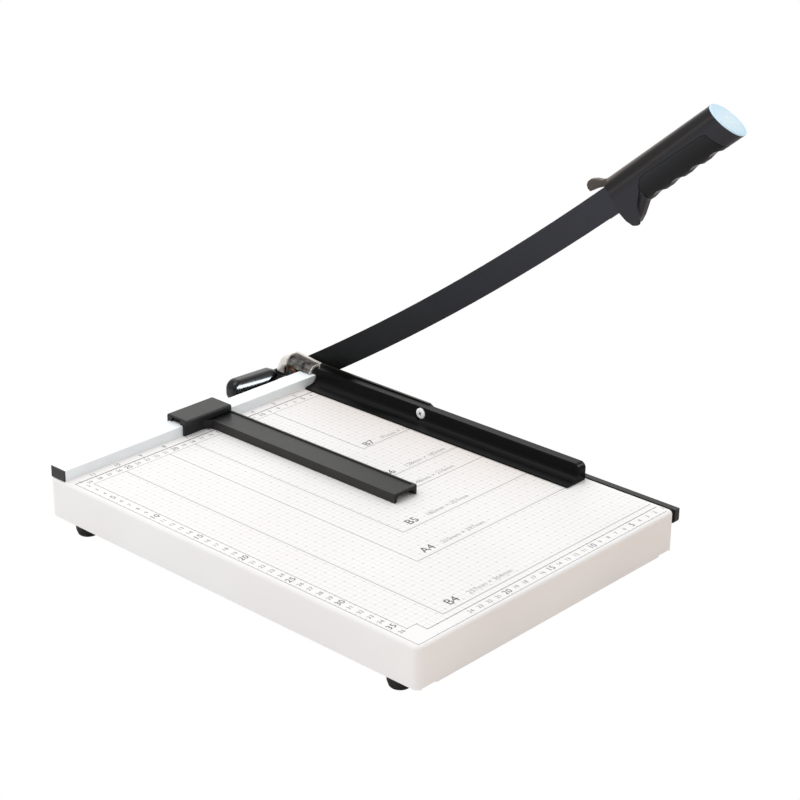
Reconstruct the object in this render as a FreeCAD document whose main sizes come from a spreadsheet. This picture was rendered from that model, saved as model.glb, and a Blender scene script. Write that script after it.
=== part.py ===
import FreeCAD, Part
import math
import os
import re

import Sketcher
from FreeCAD import Placement, Rotation, Vector

# B4 desk guillotine for paper.  Millimetres, +Z up, +X towards the cutting edge, -Y towards the user.
# The origin is the centre of the base's footprint, on the desk plane.

# ---------------------------------------------------------------- driving dimensions
SIZES = {
    # base
    "base_width": 299.4, "base_length": 403.0, "pan_height": 34.0, "pan_sheet": 1.2,
    "pan_corner_radius": 6.0, "pan_bend_radius": 3.0, "flange_side": 28.0, "flange_end": 13.0,
    "flange_setback": 8.0, "relief_length": 15.0, "relief_height": 1.2, "relief_inset": 4.0,
    "rib_width": 22.0, "rib_depth": 9.0, "rib_sheet": 1.2, "rib_spacing": 190.0, "rib_end_gap": 4.0,
    # feet
    "foot_height": 12.0, "foot_top_radius": 11.0, "foot_bottom_radius": 7.6, "foot_lip": 1.2,
    "foot_inset_x": 13.5, "foot_inset_y": 29.5, "foot_recess_radius": 4.6, "foot_recess_depth": 5.5,
    # guide rail
    "rail_depth": 17.0, "rail_height": 9.0, "rail_wall": 1.4, "rail_left_inset": 1.0,
    "rail_right_inset": 12.8, "rail_setback": 1.0, "rail_screw_inset": 13.0,
    "cap_flange": 1.5, "cap_plug": 8.0, "cap_fit": 0.1,
    # fixed lower blade
    "ledger_thickness": 5.6, "ledger_depth": 12.0, "ledger_chamfer": 3.0, "ledger_screw_inset": 55.0,
    # pivot
    "pivot_behind": 12.0, "pivot_above": 3.0, "pivot_radius": 4.0, "plate_reach": 42.0,
    "plate_boss_radius": 9.5, "plate_foot_depth": 19.0, "plate_gap": 0.3, "plate_screw_pitch": 22.0,
    "plate_screw_inset": 8.0,
    "bush_radius": 6.0, "bush_setback": 7.9, "nut_across": 12.0, "nut_length": 5.0,
    "washer_radius": 8.5, "washer_thickness": 0.9, "disc_spring_height": 1.2,
    "bolt_head_radius": 7.5, "bolt_head_height": 4.6,
    # cutting blade
    "blade_thickness": 2.8, "blade_width": 22.9, "blade_curve_radius": 2800.0, "blade_belly": 196.0,
    "blade_sag": 9.3, "blade_open_angle": 35.0, "blade_clearance": 0.1,
    "edge_bevel_width": 2.2, "edge_bevel_height": 5.0,
    "tang_length": 31.5, "tang_root_height": 21.4, "tang_tip_height": 10.0,
    # handle
    "handle_start": 399.4, "handle_drop": 1.8, "handle_tilt": 4.7, "handle_length": 128.6,
    "handle_height": 33.0, "handle_width": 19.8, "handle_end_slant": 20.0, "handle_cap": 1.6,
    "root_start": 6.4, "tang_skin": 0.8,
    "lobe_near": 2.2, "lobe_outer": 12.0, "lobe_step": 1.4, "lobe_swell": 3.6,
    "groove_pitch": 20.4, "groove_start": 43.0, "groove_depth": 1.9, "groove_radius": 14.0,
    "insert_start": 34.0, "insert_end": 117.0, "insert_top": 1.2, "insert_depth": 3.0, "seam_gap": 0.3,
    "handle_screw_start": 12.5, "handle_screw_pitch": 13.0, "handle_screw_sink": 6.0,
    # presser
    "guard_length": 297.2, "guard_width": 23.4, "guard_height": 15.3, "guard_top_width": 8.8,
    "guard_flange": 1.5, "guard_lift": 0.3, "guard_nose_radius": 5.0, "guard_hollow_radius": 7.5,
    "guard_far_gap": 4.5, "guard_rail_gap": 1.8, "guard_screw_reach": 127.5, "guard_screw_height": 9.8,
    "guard_nut_across": 7.0, "guard_nut_length": 2.0,
    "carrier_sheet": 2.0, "carrier_side_gap": 2.4, "carrier_bar_top": 16.6, "carrier_bar_reach": 138.5,
    "carrier_bar_bottom": 3.0, "carrier_bar_shoulder": 24.0,
    "hood_width": 20.0, "hood_far_inset": 2.45, "hood_front_height": 15.9, "hood_front_inset": 4.4,
    "hood_slope": 5.6, "hood_radius": 15.0, "hood_behind": -7.5, "hood_bend": 9.0, "hood_rim": 5.0,
    "hood_rail_gap": 0.7, "hood_boss_gap": 0.8, "hood_opening": 8.6, "hood_back_drop": 1.0,
    "hood_lean": 24.0, "hood_knee": -1.0, "hood_knee_radius": 20.0,
    "hood_groove_count": 11.0, "hood_groove_start": 1.6, "hood_groove_pitch": 1.45,
    "hood_groove_width": 0.75, "hood_groove_depth": 0.5, "hood_groove_length": 31.0,
    "lever_reach": 55.9, "lever_height": 10.1, "lever_below": 9.6, "lever_end_radius": 4.0,
    "sleeve_wall": 2.6, "sleeve_depth": 16.0, "sleeve_back": 2.0, "sleeve_length": 56.0,
    "sleeve_below": 12.0, "sleeve_top_left": 8.2, "sleeve_top_right": 6.2,
    "sleeve_top_radius": 9.0, "sleeve_bottom_radius": 7.0, "sleeve_edge_radius": 6.0,
    "collar_wall": 1.2, "sleeve_fit": 0.05,
    "spring_wire": 1.4, "spring_radius": 9.6, "spring_turns": 4.0, "spring_gap": 0.3,
    # sliding paper stop
    "stop_head_width": 52.6, "stop_head_depth": 25.4, "stop_head_top": 14.6, "stop_head_left": 22.2,
    "stop_run_gap": 0.3, "stop_canopy": 5.3, "stop_canopy_reach": 2.8, "stop_front_gap": 5.0,
    "stop_arm_width": 25.8, "stop_arm_length": 213.5, "stop_arm_inset": 0.7,
    "stop_arm_top": 8.2, "stop_arm_wall": 2.4, "stop_arm_skin": 1.9, "stop_arch_radius": 3.4,
    "stop_rim_width": 1.6, "stop_rim_height": 0.9, "stop_fillet": 8.0,
    "leaf_width": 7.0, "leaf_sheet": 0.5, "leaf_length": 30.0, "leaf_inset": 5.5,
    "roller_radius": 1.9, "roller_length": 10.4, "roller_inset": 3.2,
    "axle_radius": 0.8, "axle_length": 14.4,
    # fasteners
    "screw_fit": 0.05, "small_screw_radius": 1.6, "small_head_radius": 3.1, "small_head_height": 1.9,
    "guard_screw_radius": 2.4, "guard_head_radius": 4.8, "guard_head_height": 1.8,
}

# Places worked out from the sizes, as formulas of size names and of each other.
PLACES = {
    "half_width": "base_width / 2",
    "half_length": "base_length / 2",
    "board_top": "foot_height + pan_height",
    "cut_plane": "half_width + ledger_thickness",
    "rail_back": "half_length - rail_setback",
    "rail_front": "rail_back - rail_depth",
    "rail_left": "0 - half_width + rail_left_inset",
    "rail_right": "half_width - rail_right_inset",
    "rail_length": "rail_right - rail_left",
    "rail_top": "board_top + rail_height",
    "pivot_y": "half_length + pivot_behind",
    "pivot_z": "board_top + pivot_above",
    "blade_face": "cut_plane + blade_clearance",
    "blade_back": "blade_face + blade_thickness",
    "blade_tip": "handle_start + tang_length",
    "leg_outer": "half_width - carrier_side_gap",
    "leg_inner": "leg_outer - carrier_sheet",
    "web_far": "cut_plane - hood_far_inset",
    "web_near": "web_far - hood_width",
    "web_front": "rail_front + hood_front_inset",
    "web_front_top": "board_top + hood_front_height",
    "guard_far": "half_width - guard_far_gap",
    "guard_near": "guard_far - guard_width",
    "guard_rear": "rail_front - guard_rail_gap",
    "guard_bottom": "board_top + guard_lift",
    "lever_back": "pivot_y - hood_behind + hood_radius",
    "lever_bottom": "board_top - lever_below",
    "lever_left": "web_near - lever_reach",
    "sleeve_left": "lever_left - sleeve_wall",
    "bush_end": "web_near + bush_setback",
    "arm_right": "stop_head_width - stop_head_left + stop_arm_inset",
    "arm_left": "arm_right - stop_arm_width",
    "stop_bottom": "board_top + stop_run_gap",
    "head_front": "rail_front - stop_front_gap",
    "arm_front": "head_front - stop_arm_length",
    "handle_unit": "handle_height / 33",
}
NAME = re.compile(r"[a-z_][a-z_0-9]*")

doc = FreeCAD.newDocument("paper_trimmer")
sheet = doc.addObject("Spreadsheet::Sheet", "Sizes")
for row, (alias, value) in enumerate(SIZES.items(), start=1):
    sheet.set(f"A{row}", alias)
    sheet.set(f"B{row}", str(value))
    sheet.setAlias(f"B{row}", alias)
doc.recompute()


def formula(text):
    """The text as an expression: places are written out and sizes point at their cells."""
    def swap(match):
        word = match.group(0)
        if word in PLACES:
            return "(" + formula(PLACES[word]) + ")"
        return "Sizes." + word if word in SIZES else word
    return NAME.sub(swap, str(text))


probe = doc.addObject("App::FeaturePython", "Probe")
probe.addProperty("App::PropertyFloat", "Answer")


def number(text):
    """The value of a formula, worked out by the document."""
    probe.setExpression("Answer", formula(text))
    probe.recompute()
    answer = probe.Answer
    probe.setExpression("Answer", None)
    return answer


# ---------------------------------------------------------------- small builders
TURNS = {
    "Z": Rotation(),
    "X": Rotation(Vector(0, 1, 0), 90),
    "-X": Rotation(Vector(0, 1, 0), -90),
    "-Z": Rotation(Vector(1, 0, 0), 180),
    "Y": Rotation(Vector(1, 0, 0), -90),
}
nodes = {}


def bind(obj, **formulas):
    for prop, text in formulas.items():
        obj.setExpression(prop, formula(text))
    return obj


def put(obj, at, turn="Z"):
    """Place an object by three formulas, after a fixed turn."""
    obj.Placement = Placement(Vector(), TURNS[turn])
    for axis, text in zip("xyz", at):
        obj.setExpression("Placement.Base." + axis, formula(text))
    return obj


def box(name, low, size):
    obj = doc.addObject("Part::Box", name)
    bind(obj, Length=size[0], Width=size[1], Height=size[2])
    return put(obj, low)


def rod(name, radius, length, at, turn="Z"):
    obj = doc.addObject("Part::Cylinder", name)
    bind(obj, Radius=radius, Height=length)
    return put(obj, at, turn)


def fuse(name, *shapes):
    obj = doc.addObject("Part::MultiFuse", name)
    obj.Shapes = list(shapes)
    obj.Refine = True
    return obj


def cut(name, base, *tools):
    obj = doc.addObject("Part::Cut", name)
    obj.Base = base
    obj.Tool = tools[0] if len(tools) == 1 else fuse(name + "_tools", *tools)
    obj.Refine = True
    return obj


def common(name, base, tool):
    obj = doc.addObject("Part::Common", name)
    obj.Base = base
    obj.Tool = tool
    obj.Refine = True
    return obj


def group(name, *parts):
    obj = doc.addObject("Part::Compound", name)
    obj.Links = list(parts)
    return obj


def node(label, obj):
    obj.Label = label
    nodes[label] = obj
    return obj


def edges_where(shape, test):
    """Numbers of the edges whose centre, direction and length pass the test."""
    found = []
    for index, edge in enumerate(shape.Edges, start=1):
        middle = edge.BoundBox.Center
        span = edge.BoundBox
        if test(middle, span):
            found.append(index)
    return found


def rounded(name, base, radius, test):
    """A Part fillet on the edges that pass the test."""
    doc.recompute()
    obj = doc.addObject("Part::Fillet", name)
    obj.Base = base
    size = number(radius)
    obj.Edges = [(index, size, size) for index in edges_where(base.Shape, test)]
    return obj


def body(name):
    return doc.addObject("PartDesign::Body", name)


def origin_plane(owner, role):
    return next(item for item in owner.Origin.OriginFeatures if item.Role == role)


def polygon(owner, name, role, points):
    """A closed outline whose corners are tied to formulas."""
    sketch = owner.newObject("Sketcher::SketchObject", name)
    sketch.AttachmentSupport = [(origin_plane(owner, role), "")]
    sketch.MapMode = "FlatFace"
    count = len(points)
    start = [Vector(10 * math.cos(2 * math.pi * i / count), 10 * math.sin(2 * math.pi * i / count), 0)
             for i in range(count)]
    for i in range(count):
        sketch.addGeometry(Part.LineSegment(start[i], start[(i + 1) % count]), False)
    for i in range(count):
        sketch.addConstraint(Sketcher.Constraint("Coincident", i, 2, (i + 1) % count, 1))
    for i, point in enumerate(points):
        for kind, value, text in (("DistanceX", start[i].x, point[0]), ("DistanceY", start[i].y, point[1])):
            spot = sketch.addConstraint(Sketcher.Constraint(kind, -1, 1, i, 1, value))
            sketch.setExpression(f"Constraints[{spot}]", formula(text))
    return sketch


def pad(owner, sketch, length, reverse=False):
    obj = owner.newObject("PartDesign::Pad", sketch.Name + "_pad")
    obj.Profile = sketch
    obj.Reversed = reverse
    sketch.Visibility = False
    return bind(obj, Length=length)


def prism(name, role, points, length, at, reverse=False):
    """A body padded from one outline."""
    owner = body(name)
    pad(owner, polygon(owner, name + "_outline", role, points), length, reverse)
    return put(owner, at)


def soften(owner, name, radius, test):
    """A PartDesign fillet on the body's edges that pass the test."""
    doc.recompute()
    obj = owner.newObject("PartDesign::Fillet", name)
    tip = owner.Group[-2]
    obj.Base = (tip, [f"Edge{index}" for index in edges_where(tip.Shape, test)])
    return bind(obj, Radius=radius)


def turned(name, points, at, turn="Z"):
    """A body turned from a half outline of (radius, height) corners."""
    owner = body(name)
    sketch = polygon(owner, name + "_half", "XZ_Plane", points)
    obj = owner.newObject("PartDesign::Revolution", name + "_turn")
    obj.Profile = sketch
    obj.ReferenceAxis = (sketch, ["V_Axis"])
    obj.Angle = 360
    return put(owner, at, turn)


def screw(name, radius, length, head_radius, head_height, at, turn):
    """A pan-head screw: the head's seat is at its origin and the shank runs along -axis."""
    crown = f"{head_height} * 0.6"
    return turned(name, [("0", f"0 - ({length})"), (radius, f"0 - ({length})"), (radius, "0"),
                         (head_radius, "0"), (head_radius, crown), (f"{head_radius} * 0.7", head_height),
                         ("0", head_height)], at, turn)


def hex_bar(name, across, length, at, turn):
    """A hexagonal bar standing on its origin."""
    owner = body(name)
    half = f"({across}) / 2"
    side = f"({across}) / 2 / cos(30 deg)"
    pad(owner, polygon(owner, name + "_outline", "XY_Plane", [
        (side, "0"), (f"{side} / 2", half), (f"0 - {side} / 2", half),
        (f"0 - {side}", "0"), (f"0 - {side} / 2", f"0 - {half}"), (f"{side} / 2", f"0 - {half}")]), length)
    return put(owner, at, turn)


def nut(name, across, length, bore, at, turn):
    """A hexagonal nut standing on its origin, bored through."""
    return cut(name, hex_bar(name + "_blank", across, length, at, turn),
               rod(name + "_bore", bore, f"({length}) * 3", at, turn))


# ---------------------------------------------------------------- base pan
pan = body("pan_body")
pad(pan, polygon(pan, "pan_outline", "XY_Plane",
                 [("0 - half_width", "0 - half_length"), ("half_width", "0 - half_length"),
                  ("half_width", "half_length"), ("0 - half_width", "half_length")]), "pan_height")
soften(pan, "pan_corners", "pan_corner_radius", lambda mid, span: span.ZLength > 1)
soften(pan, "pan_bends", "pan_bend_radius",
       lambda mid, span: span.ZLength < 0.01 and mid.z > SIZES["pan_height"] / 2)
doc.recompute()
shell = pan.newObject("PartDesign::Thickness", "pan_shell")
solid = pan.Group[-2]
under = min(range(len(solid.Shape.Faces)), key=lambda i: solid.Shape.Faces[i].CenterOfMass.z)
shell.Base = (solid, [f"Face{under + 1}"])
shell.Reversed = True
bind(shell, Value="pan_sheet")


def mirrored(owner, name, role, *features):
    obj = owner.newObject("PartDesign::Mirrored", name)
    obj.Originals = list(features)
    obj.MirrorPlane = (origin_plane(owner, role), [""])
    owner.Tip = obj
    return obj


side_flange = pad(pan, polygon(pan, "side_flange", "XY_Plane",
                               [("half_width - flange_side", "flange_setback - half_length"),
                                ("half_width - pan_sheet / 2", "flange_setback - half_length"),
                                ("half_width - pan_sheet / 2", "half_length - flange_setback"),
                                ("half_width - flange_side", "half_length - flange_setback")]), "pan_sheet")
mirrored(pan, "side_flanges", "YZ_Plane", side_flange)
end_flange = pad(pan, polygon(pan, "end_flange", "XY_Plane",
                              [("flange_side + 1 - half_width", "pan_sheet / 2 - half_length"),
                               ("half_width - flange_side - 1", "pan_sheet / 2 - half_length"),
                               ("half_width - flange_side - 1", "flange_end - half_length"),
                               ("flange_side + 1 - half_width", "flange_end - half_length")]), "pan_sheet")
mirrored(pan, "end_flanges", "XZ_Plane", end_flange)
put(pan, ("0", "0", "foot_height"))


SIDES = {"": "r", "0 - ": "l"}
ENDS = {"": "b", "0 - ": "f"}


def corner_name(name, side, end):
    return f"{name}_{SIDES[side]}{ENDS[end]}"


FOOT_X = "half_width - foot_inset_x"
FOOT_Y = "half_length - foot_inset_y"
LEDGER_SCREW_Z = "board_top - ledger_depth * 0.55"
PLATE_SCREW_Z = "board_top - ledger_depth - plate_gap - plate_foot_depth / 2"
RAIL_SCREW_Y = "rail_back - rail_depth / 2"


def row(count, low, high):
    """Formulas of evenly spaced places from low to high."""
    return [f"({low}) + ({high} - ({low})) * {index} / {count - 1}" for index in range(count)]


ledger_screw_rows = row(4, "ledger_screw_inset - half_length", "rail_front + 2 - ledger_screw_inset")
plate_screw_rows = row(2, "half_length - plate_reach + plate_screw_inset",
                       "half_length - plate_reach + plate_screw_inset + plate_screw_pitch")
rail_screw_rows = row(4, "rail_left + rail_screw_inset", "rail_right - rail_screw_inset")

holes = []
for side in SIDES:
    for end in ENDS:
        holes.append(rod(corner_name("foot_hole", side, end), "small_screw_radius + screw_fit", "10",
                         (f"{side}({FOOT_X})", f"{end}({FOOT_Y})", "foot_height - 2")))
        low_x = "half_width - relief_inset - relief_length" if side == "" else "relief_inset - half_width"
        low_y = "half_length - 2" if end == "" else "0 - half_length - 2"
        holes.append(box(corner_name("relief", side, end), (low_x, low_y, "foot_height - 1"),
                         ("relief_length", "4", "relief_height + 1")))
for index, y in enumerate(ledger_screw_rows):
    holes.append(rod(f"ledger_hole_{index}", "small_screw_radius + screw_fit", "6",
                     ("half_width - 4", y, LEDGER_SCREW_Z), "X"))
for index, y in enumerate(plate_screw_rows):
    holes.append(rod(f"plate_hole_{index}", "guard_screw_radius + screw_fit", "6",
                     ("half_width - 4", y, PLATE_SCREW_Z), "X"))
for index, x in enumerate(rail_screw_rows):
    holes.append(rod(f"rail_hole_{index}", "small_screw_radius + screw_fit", "6",
                     (x, RAIL_SCREW_Y, "board_top - 4")))
node("base_pan", cut("base_pan", pan, *holes))

ribs = []
for tag, sign in (("front", "0 - "), ("back", "")):
    outer = box(f"rib_{tag}", ("pan_sheet + rib_end_gap - half_width",
                               f"{sign}rib_spacing / 2 - rib_width / 2", "board_top - pan_sheet - rib_depth"),
                ("base_width - 2 * (pan_sheet + rib_end_gap)", "rib_width", "rib_depth"))
    inner = box(f"rib_{tag}_inner", ("0 - half_width", f"{sign}rib_spacing / 2 - rib_width / 2 + rib_sheet",
                                     "board_top - pan_sheet - rib_depth - rib_sheet"),
                ("base_width", "rib_width - 2 * rib_sheet", "rib_depth"))
    ribs.append(cut(f"board_rib_{tag}", outer, inner))
node("board_ribs", group("board_ribs", *ribs))

feet = []
foot_screws = []
for side in SIDES:
    for end in ENDS:
        at = (f"{side}({FOOT_X})", f"{end}({FOOT_Y})", "0")
        feet.append(turned(corner_name("foot", side, end), [
            ("foot_recess_radius", "0"), ("foot_bottom_radius", "0"),
            ("foot_bottom_radius + 0.8", "0.9"), ("foot_bottom_radius + 2", "foot_height * 0.36"),
            ("foot_bottom_radius + 2.6", "foot_height - foot_lip - 0.6"),
            ("foot_top_radius", "foot_height - foot_lip"), ("foot_top_radius", "foot_height"),
            ("small_screw_radius + screw_fit", "foot_height"),
            ("small_screw_radius + screw_fit", "foot_recess_depth"),
            ("foot_recess_radius", "foot_recess_depth")], at))
        foot_screws.append(screw(corner_name("foot_screw", side, end), "small_screw_radius",
                                 "foot_height - foot_recess_depth + pan_sheet + 2", "small_head_radius",
                                 "small_head_height", (at[0], at[1], "foot_recess_depth"), "-Z"))
node("rubber_feet", group("rubber_feet", *feet))
node("foot_screws", group("foot_screws", *foot_screws))

# ---------------------------------------------------------------- guide rail
rail_outer = box("rail_outer", ("rail_left + cap_flange", "rail_front", "board_top"),
                 ("rail_length - cap_flange", "rail_depth", "rail_height"))
rail_inner = box("rail_inner", ("rail_left", "rail_front + rail_wall", "board_top + rail_wall"),
                 ("rail_length + 5", "rail_depth - 2 * rail_wall", "rail_height - 2 * rail_wall"))
rail_holes = [rod(f"rail_thread_{index}", "small_screw_radius + screw_fit", "rail_wall + 2",
                  (x, RAIL_SCREW_Y, "board_top - 1")) for index, x in enumerate(rail_screw_rows)]
node("guide_rail", cut("guide_rail", rail_outer, rail_inner, *rail_holes))
cap_face = box("cap_face", ("rail_left", "rail_front", "board_top"),
               ("cap_flange", "rail_depth", "rail_height"))
cap_soft = rounded("cap_soft", cap_face, "cap_flange * 0.8",
                   lambda mid, span: span.ZLength > 1 and mid.y > number("rail_front") + 2
                   and mid.x < number("rail_left") + 0.1)
cap_plug = box("cap_plug", ("rail_left + cap_flange / 2", "rail_front + rail_wall + cap_fit",
                            "board_top + rail_wall + cap_fit"),
               ("cap_plug + cap_flange / 2", "rail_depth - 2 * (rail_wall + cap_fit)",
                "rail_height - 2 * (rail_wall + cap_fit)"))
node("rail_end_cap", fuse("rail_end_cap", cap_soft, cap_plug))
node("rail_screws", group("rail_screws", *[
    screw(f"rail_screw_{index}", "small_screw_radius", "pan_sheet + rail_wall + 2", "small_head_radius",
          "small_head_height", (x, RAIL_SCREW_Y, "board_top - pan_sheet"), "-Z")
    for index, x in enumerate(rail_screw_rows)]))

# ---------------------------------------------------------------- fixed blade and pivot plate
ledger = box("ledger_bar", ("half_width", "0 - half_length", "board_top - ledger_depth"),
             ("ledger_thickness", "half_length + rail_front + 2", "ledger_depth"))
ledger_round = rounded("ledger_round", ledger, "ledger_chamfer",
                       lambda mid, span: span.XLength > 5 and mid.y < 0 and mid.z < number("board_top") - 6)
ledger_threads = [rod(f"ledger_thread_{index}", "small_screw_radius + screw_fit", "ledger_thickness - 1",
                      ("half_width - 0.5", y, LEDGER_SCREW_Z), "X")
                  for index, y in enumerate(ledger_screw_rows)]
node("fixed_blade", cut("fixed_blade", ledger_round, *ledger_threads))
node("fixed_blade_screws", group("fixed_blade_screws", *[
    screw(f"ledger_screw_{index}", "small_screw_radius", "pan_sheet + ledger_thickness - 2.5",
          "small_head_radius", "small_head_height", ("half_width - pan_sheet", y, LEDGER_SCREW_Z), "-X")
    for index, y in enumerate(ledger_screw_rows)]))

PLATE_TOP = "board_top - ledger_depth - plate_gap"
plate = prism("plate_arm", "YZ_Plane", [
    ("half_length - plate_reach", f"{PLATE_TOP} - plate_foot_depth"),
    ("half_length - plate_reach", PLATE_TOP),
    ("pivot_y - plate_boss_radius", PLATE_TOP), ("pivot_y - plate_boss_radius", "pivot_z"),
    ("pivot_y + plate_boss_radius", "pivot_z"), ("pivot_y + plate_boss_radius", "pivot_z - 18"),
    ("pivot_y", f"{PLATE_TOP} - plate_foot_depth")], "ledger_thickness", ("half_width", "0", "0"))
plate_boss = rod("plate_boss", "plate_boss_radius", "ledger_thickness",
                 ("half_width", "pivot_y", "pivot_z"), "X")
plate_bore = rod("plate_bore", "pivot_radius + screw_fit", "ledger_thickness + 4",
                 ("half_width - 2", "pivot_y", "pivot_z"), "X")
plate_threads = [rod(f"plate_thread_{index}", "guard_screw_radius + screw_fit", "ledger_thickness - 1",
                     ("half_width - 0.5", y, PLATE_SCREW_Z), "X") for index, y in enumerate(plate_screw_rows)]
node("pivot_plate", cut("pivot_plate", fuse("plate_blank", plate, plate_boss), plate_bore, *plate_threads))
node("pivot_plate_screws", group("pivot_plate_screws", *[
    screw(f"plate_screw_{index}", "guard_screw_radius", "pan_sheet + ledger_thickness - 2.5",
          "guard_head_radius", "guard_head_height", ("half_width - pan_sheet", y, PLATE_SCREW_Z), "-X")
    for index, y in enumerate(plate_screw_rows)]))

# ---------------------------------------------------------------- stack on the pivot
AXIS = ("pivot_y", "pivot_z")
SPRING_X = "blade_back + screw_fit"
WASHER_X = "blade_back + screw_fit + disc_spring_height"
HEAD_X = "blade_back + screw_fit + disc_spring_height + washer_thickness"
bush = turned("bush", [("pivot_radius + screw_fit", "0"), ("bush_radius", "0"),
                       ("bush_radius", "half_width - (bush_end)"),
                       ("pivot_radius + screw_fit", "half_width - (bush_end)")], ("bush_end",) + AXIS, "X")
node("pivot_bush", bush)
node("pivot_nut", nut("pivot_nut", "nut_across", "nut_length", "pivot_radius + screw_fit",
                      ("bush_end - nut_length",) + AXIS, "X"))
disc = turned("disc_spring", [("pivot_radius + 0.2", "disc_spring_height * 0.5"),
                              ("washer_radius - 1", "0"), ("washer_radius - 1", "disc_spring_height * 0.5"),
                              ("pivot_radius + 0.2", "disc_spring_height")], (SPRING_X,) + AXIS, "X")
node("disc_spring", disc)
washer = turned("washer", [("pivot_radius + 0.2", "0"), ("washer_radius", "0"),
                           ("washer_radius", "washer_thickness"), ("pivot_radius + 0.2", "washer_thickness")],
                (WASHER_X,) + AXIS, "X")
node("pivot_washer", washer)
head = hex_bar("bolt_head", "bolt_head_radius * 1.75", "bolt_head_height", (HEAD_X,) + AXIS, "X")
shank = rod("bolt_shank", "pivot_radius", f"{HEAD_X} - (bush_end) + nut_length + 2",
            ("bush_end - nut_length - 1",) + AXIS, "X")
node("pivot_bolt", fuse("pivot_bolt", head, shank))

# ---------------------------------------------------------------- presser spring
SPRING_PITCH = "spring_wire * 1.03"
SPRING_HIGH = "leg_inner - spring_gap - spring_wire / 2"
SPRING_LOW = f"{SPRING_HIGH} - spring_turns * {SPRING_PITCH}"
coil_line = doc.addObject("Part::Helix", "coil_line")
bind(coil_line, Pitch=SPRING_PITCH, Height=f"spring_turns * {SPRING_PITCH}", Radius="spring_radius")
wire = doc.addObject("Part::Circle", "coil_wire")
bind(wire, Radius="spring_wire / 2")
put(wire, ("spring_radius", "0", "0"), "Y")
coil = doc.addObject("Part::Sweep", "coil")
coil.Sections = [wire]
coil.Spine = (coil_line, ["Edge1"])
coil.Solid = True
coil.Frenet = True
put(coil, (SPRING_LOW,) + AXIS, "X")
leg_low = rod("spring_leg_low", "spring_wire / 2", "pivot_y - half_length - 0.1",
              (SPRING_LOW, "half_length + 0.1", "pivot_z - spring_radius"), "Y")
leg_high = rod("spring_leg_high", "spring_wire / 2", "lever_back - carrier_sheet - 0.1 - (pivot_y)",
               (SPRING_HIGH, "pivot_y", "pivot_z - spring_radius"), "Y")
node("presser_spring", fuse("presser_spring", coil, leg_low, leg_high))

# ---------------------------------------------------------------- presser carrier
# A pressed hood over the pivot, with a finger lever at its back; its inner leg turns on the bush and
# runs forward as a bar along the guard.
ABOVE_ALL = "board_top + 100"


def hood_block(name, inset="0", reach="0"):
    """The hood as a solid: a sloping top, a leaning back and a knee above the lever, with soft edges.
    inset draws it smaller by a wall, and reach runs it out through its open front and bottom."""
    owner = body(name)
    rise = "tan(hood_slope * 1 deg)"
    lean = "tan(hood_lean * 1 deg)"
    top = f"(web_front_top - ({inset}) / cos(hood_slope * 1 deg))"
    back = f"(lever_back - ({inset}) / cos(hood_lean * 1 deg))"
    knee = f"(board_top + hood_knee - ({inset}) * tan(hood_lean * 0.5 deg))"
    run = f"({back} + (board_top + hood_knee) * {lean} - (web_front))"
    crown = f"(({top} + {run} * {rise}) / (1 + {lean} * {rise}))"
    sketch = polygon(owner, name + "_outline", "YZ_Plane", [
        (f"web_front - {reach}", f"{top} - {reach} * {rise}"),
        (f"{back} - ({crown} - (board_top + hood_knee)) * {lean}", crown),
        (f"lever_back - ({inset})", knee),
        (f"lever_back - ({inset})", f"lever_bottom - {reach}"),
        (f"web_front - {reach}", f"lever_bottom - {reach}")])
    pad(owner, sketch, f"hood_width - 2 * ({inset})")
    width = number(f"hood_width - 2 * ({inset})")
    soften(owner, name + "_arch", f"hood_radius - ({inset})",
           lambda mid, span: span.XLength > 5 and mid.y > number("pivot_y") and mid.z > number("pivot_z"))
    soften(owner, name + "_knee", f"hood_knee_radius - ({inset})",
           lambda mid, span: span.XLength > 5 and mid.y > number("pivot_y")
           and abs(mid.z - number(knee)) < 0.01)
    for tag, radius, side in (("_bend", "hood_bend", 0), ("_rim", "hood_rim", width)):
        soften(owner, name + tag, f"{radius} - ({inset})",
               lambda mid, span: abs(mid.x - side) < 0.01 and span.YLength > 3
               and mid.z > number("pivot_z") + 8)
    return put(owner, (f"web_near + {inset}", "0", "0"))


hood = cut("hood", hood_block("hood_outside"), hood_block("hood_inside", "carrier_sheet", "5"))
hood_opening = rod("hood_opening", "hood_opening", "carrier_sheet + 2", ("web_near - 1",) + AXIS, "X")
hood_step = box("hood_step", ("web_near - 1", "web_front - 1", "lever_bottom - 1"),
                ("carrier_sheet + 2", "pivot_y - (web_front) + 1",
                 "rail_top + hood_rail_gap - (lever_bottom) + 1"))
hood_under = box("hood_under", ("web_near - 1", "pivot_y - 0.5", "lever_bottom - 1"),
                 ("hood_bend + 1", "lever_back - carrier_sheet - (pivot_y) + 0.5",
                  "lever_below + hood_back_drop + 1"))
hood_far_open = box("hood_far_open", ("web_far - carrier_sheet - 1", "web_front - 1", "lever_bottom - 1"),
                    ("carrier_sheet + 2", "lever_back - carrier_sheet - (web_front) + 1",
                     "pivot_z + plate_boss_radius + hood_boss_gap - (lever_bottom) + 1"))
leg_room = prism("leg_room", "YZ_Plane", [
    ("web_front", "board_top + carrier_bar_bottom"), ("pivot_y - 12", "board_top + carrier_bar_bottom"),
    ("pivot_y - 9", "pivot_z - 11"), ("pivot_y + 9", "pivot_z - 11"), ("lever_back", "pivot_z - 6"),
    ("lever_back", ABOVE_ALL), ("web_front", ABOVE_ALL)], "carrier_sheet", ("leg_inner", "0", "0"))
leg = common("carrier_leg", hood_block("leg_blank"), leg_room)
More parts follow.
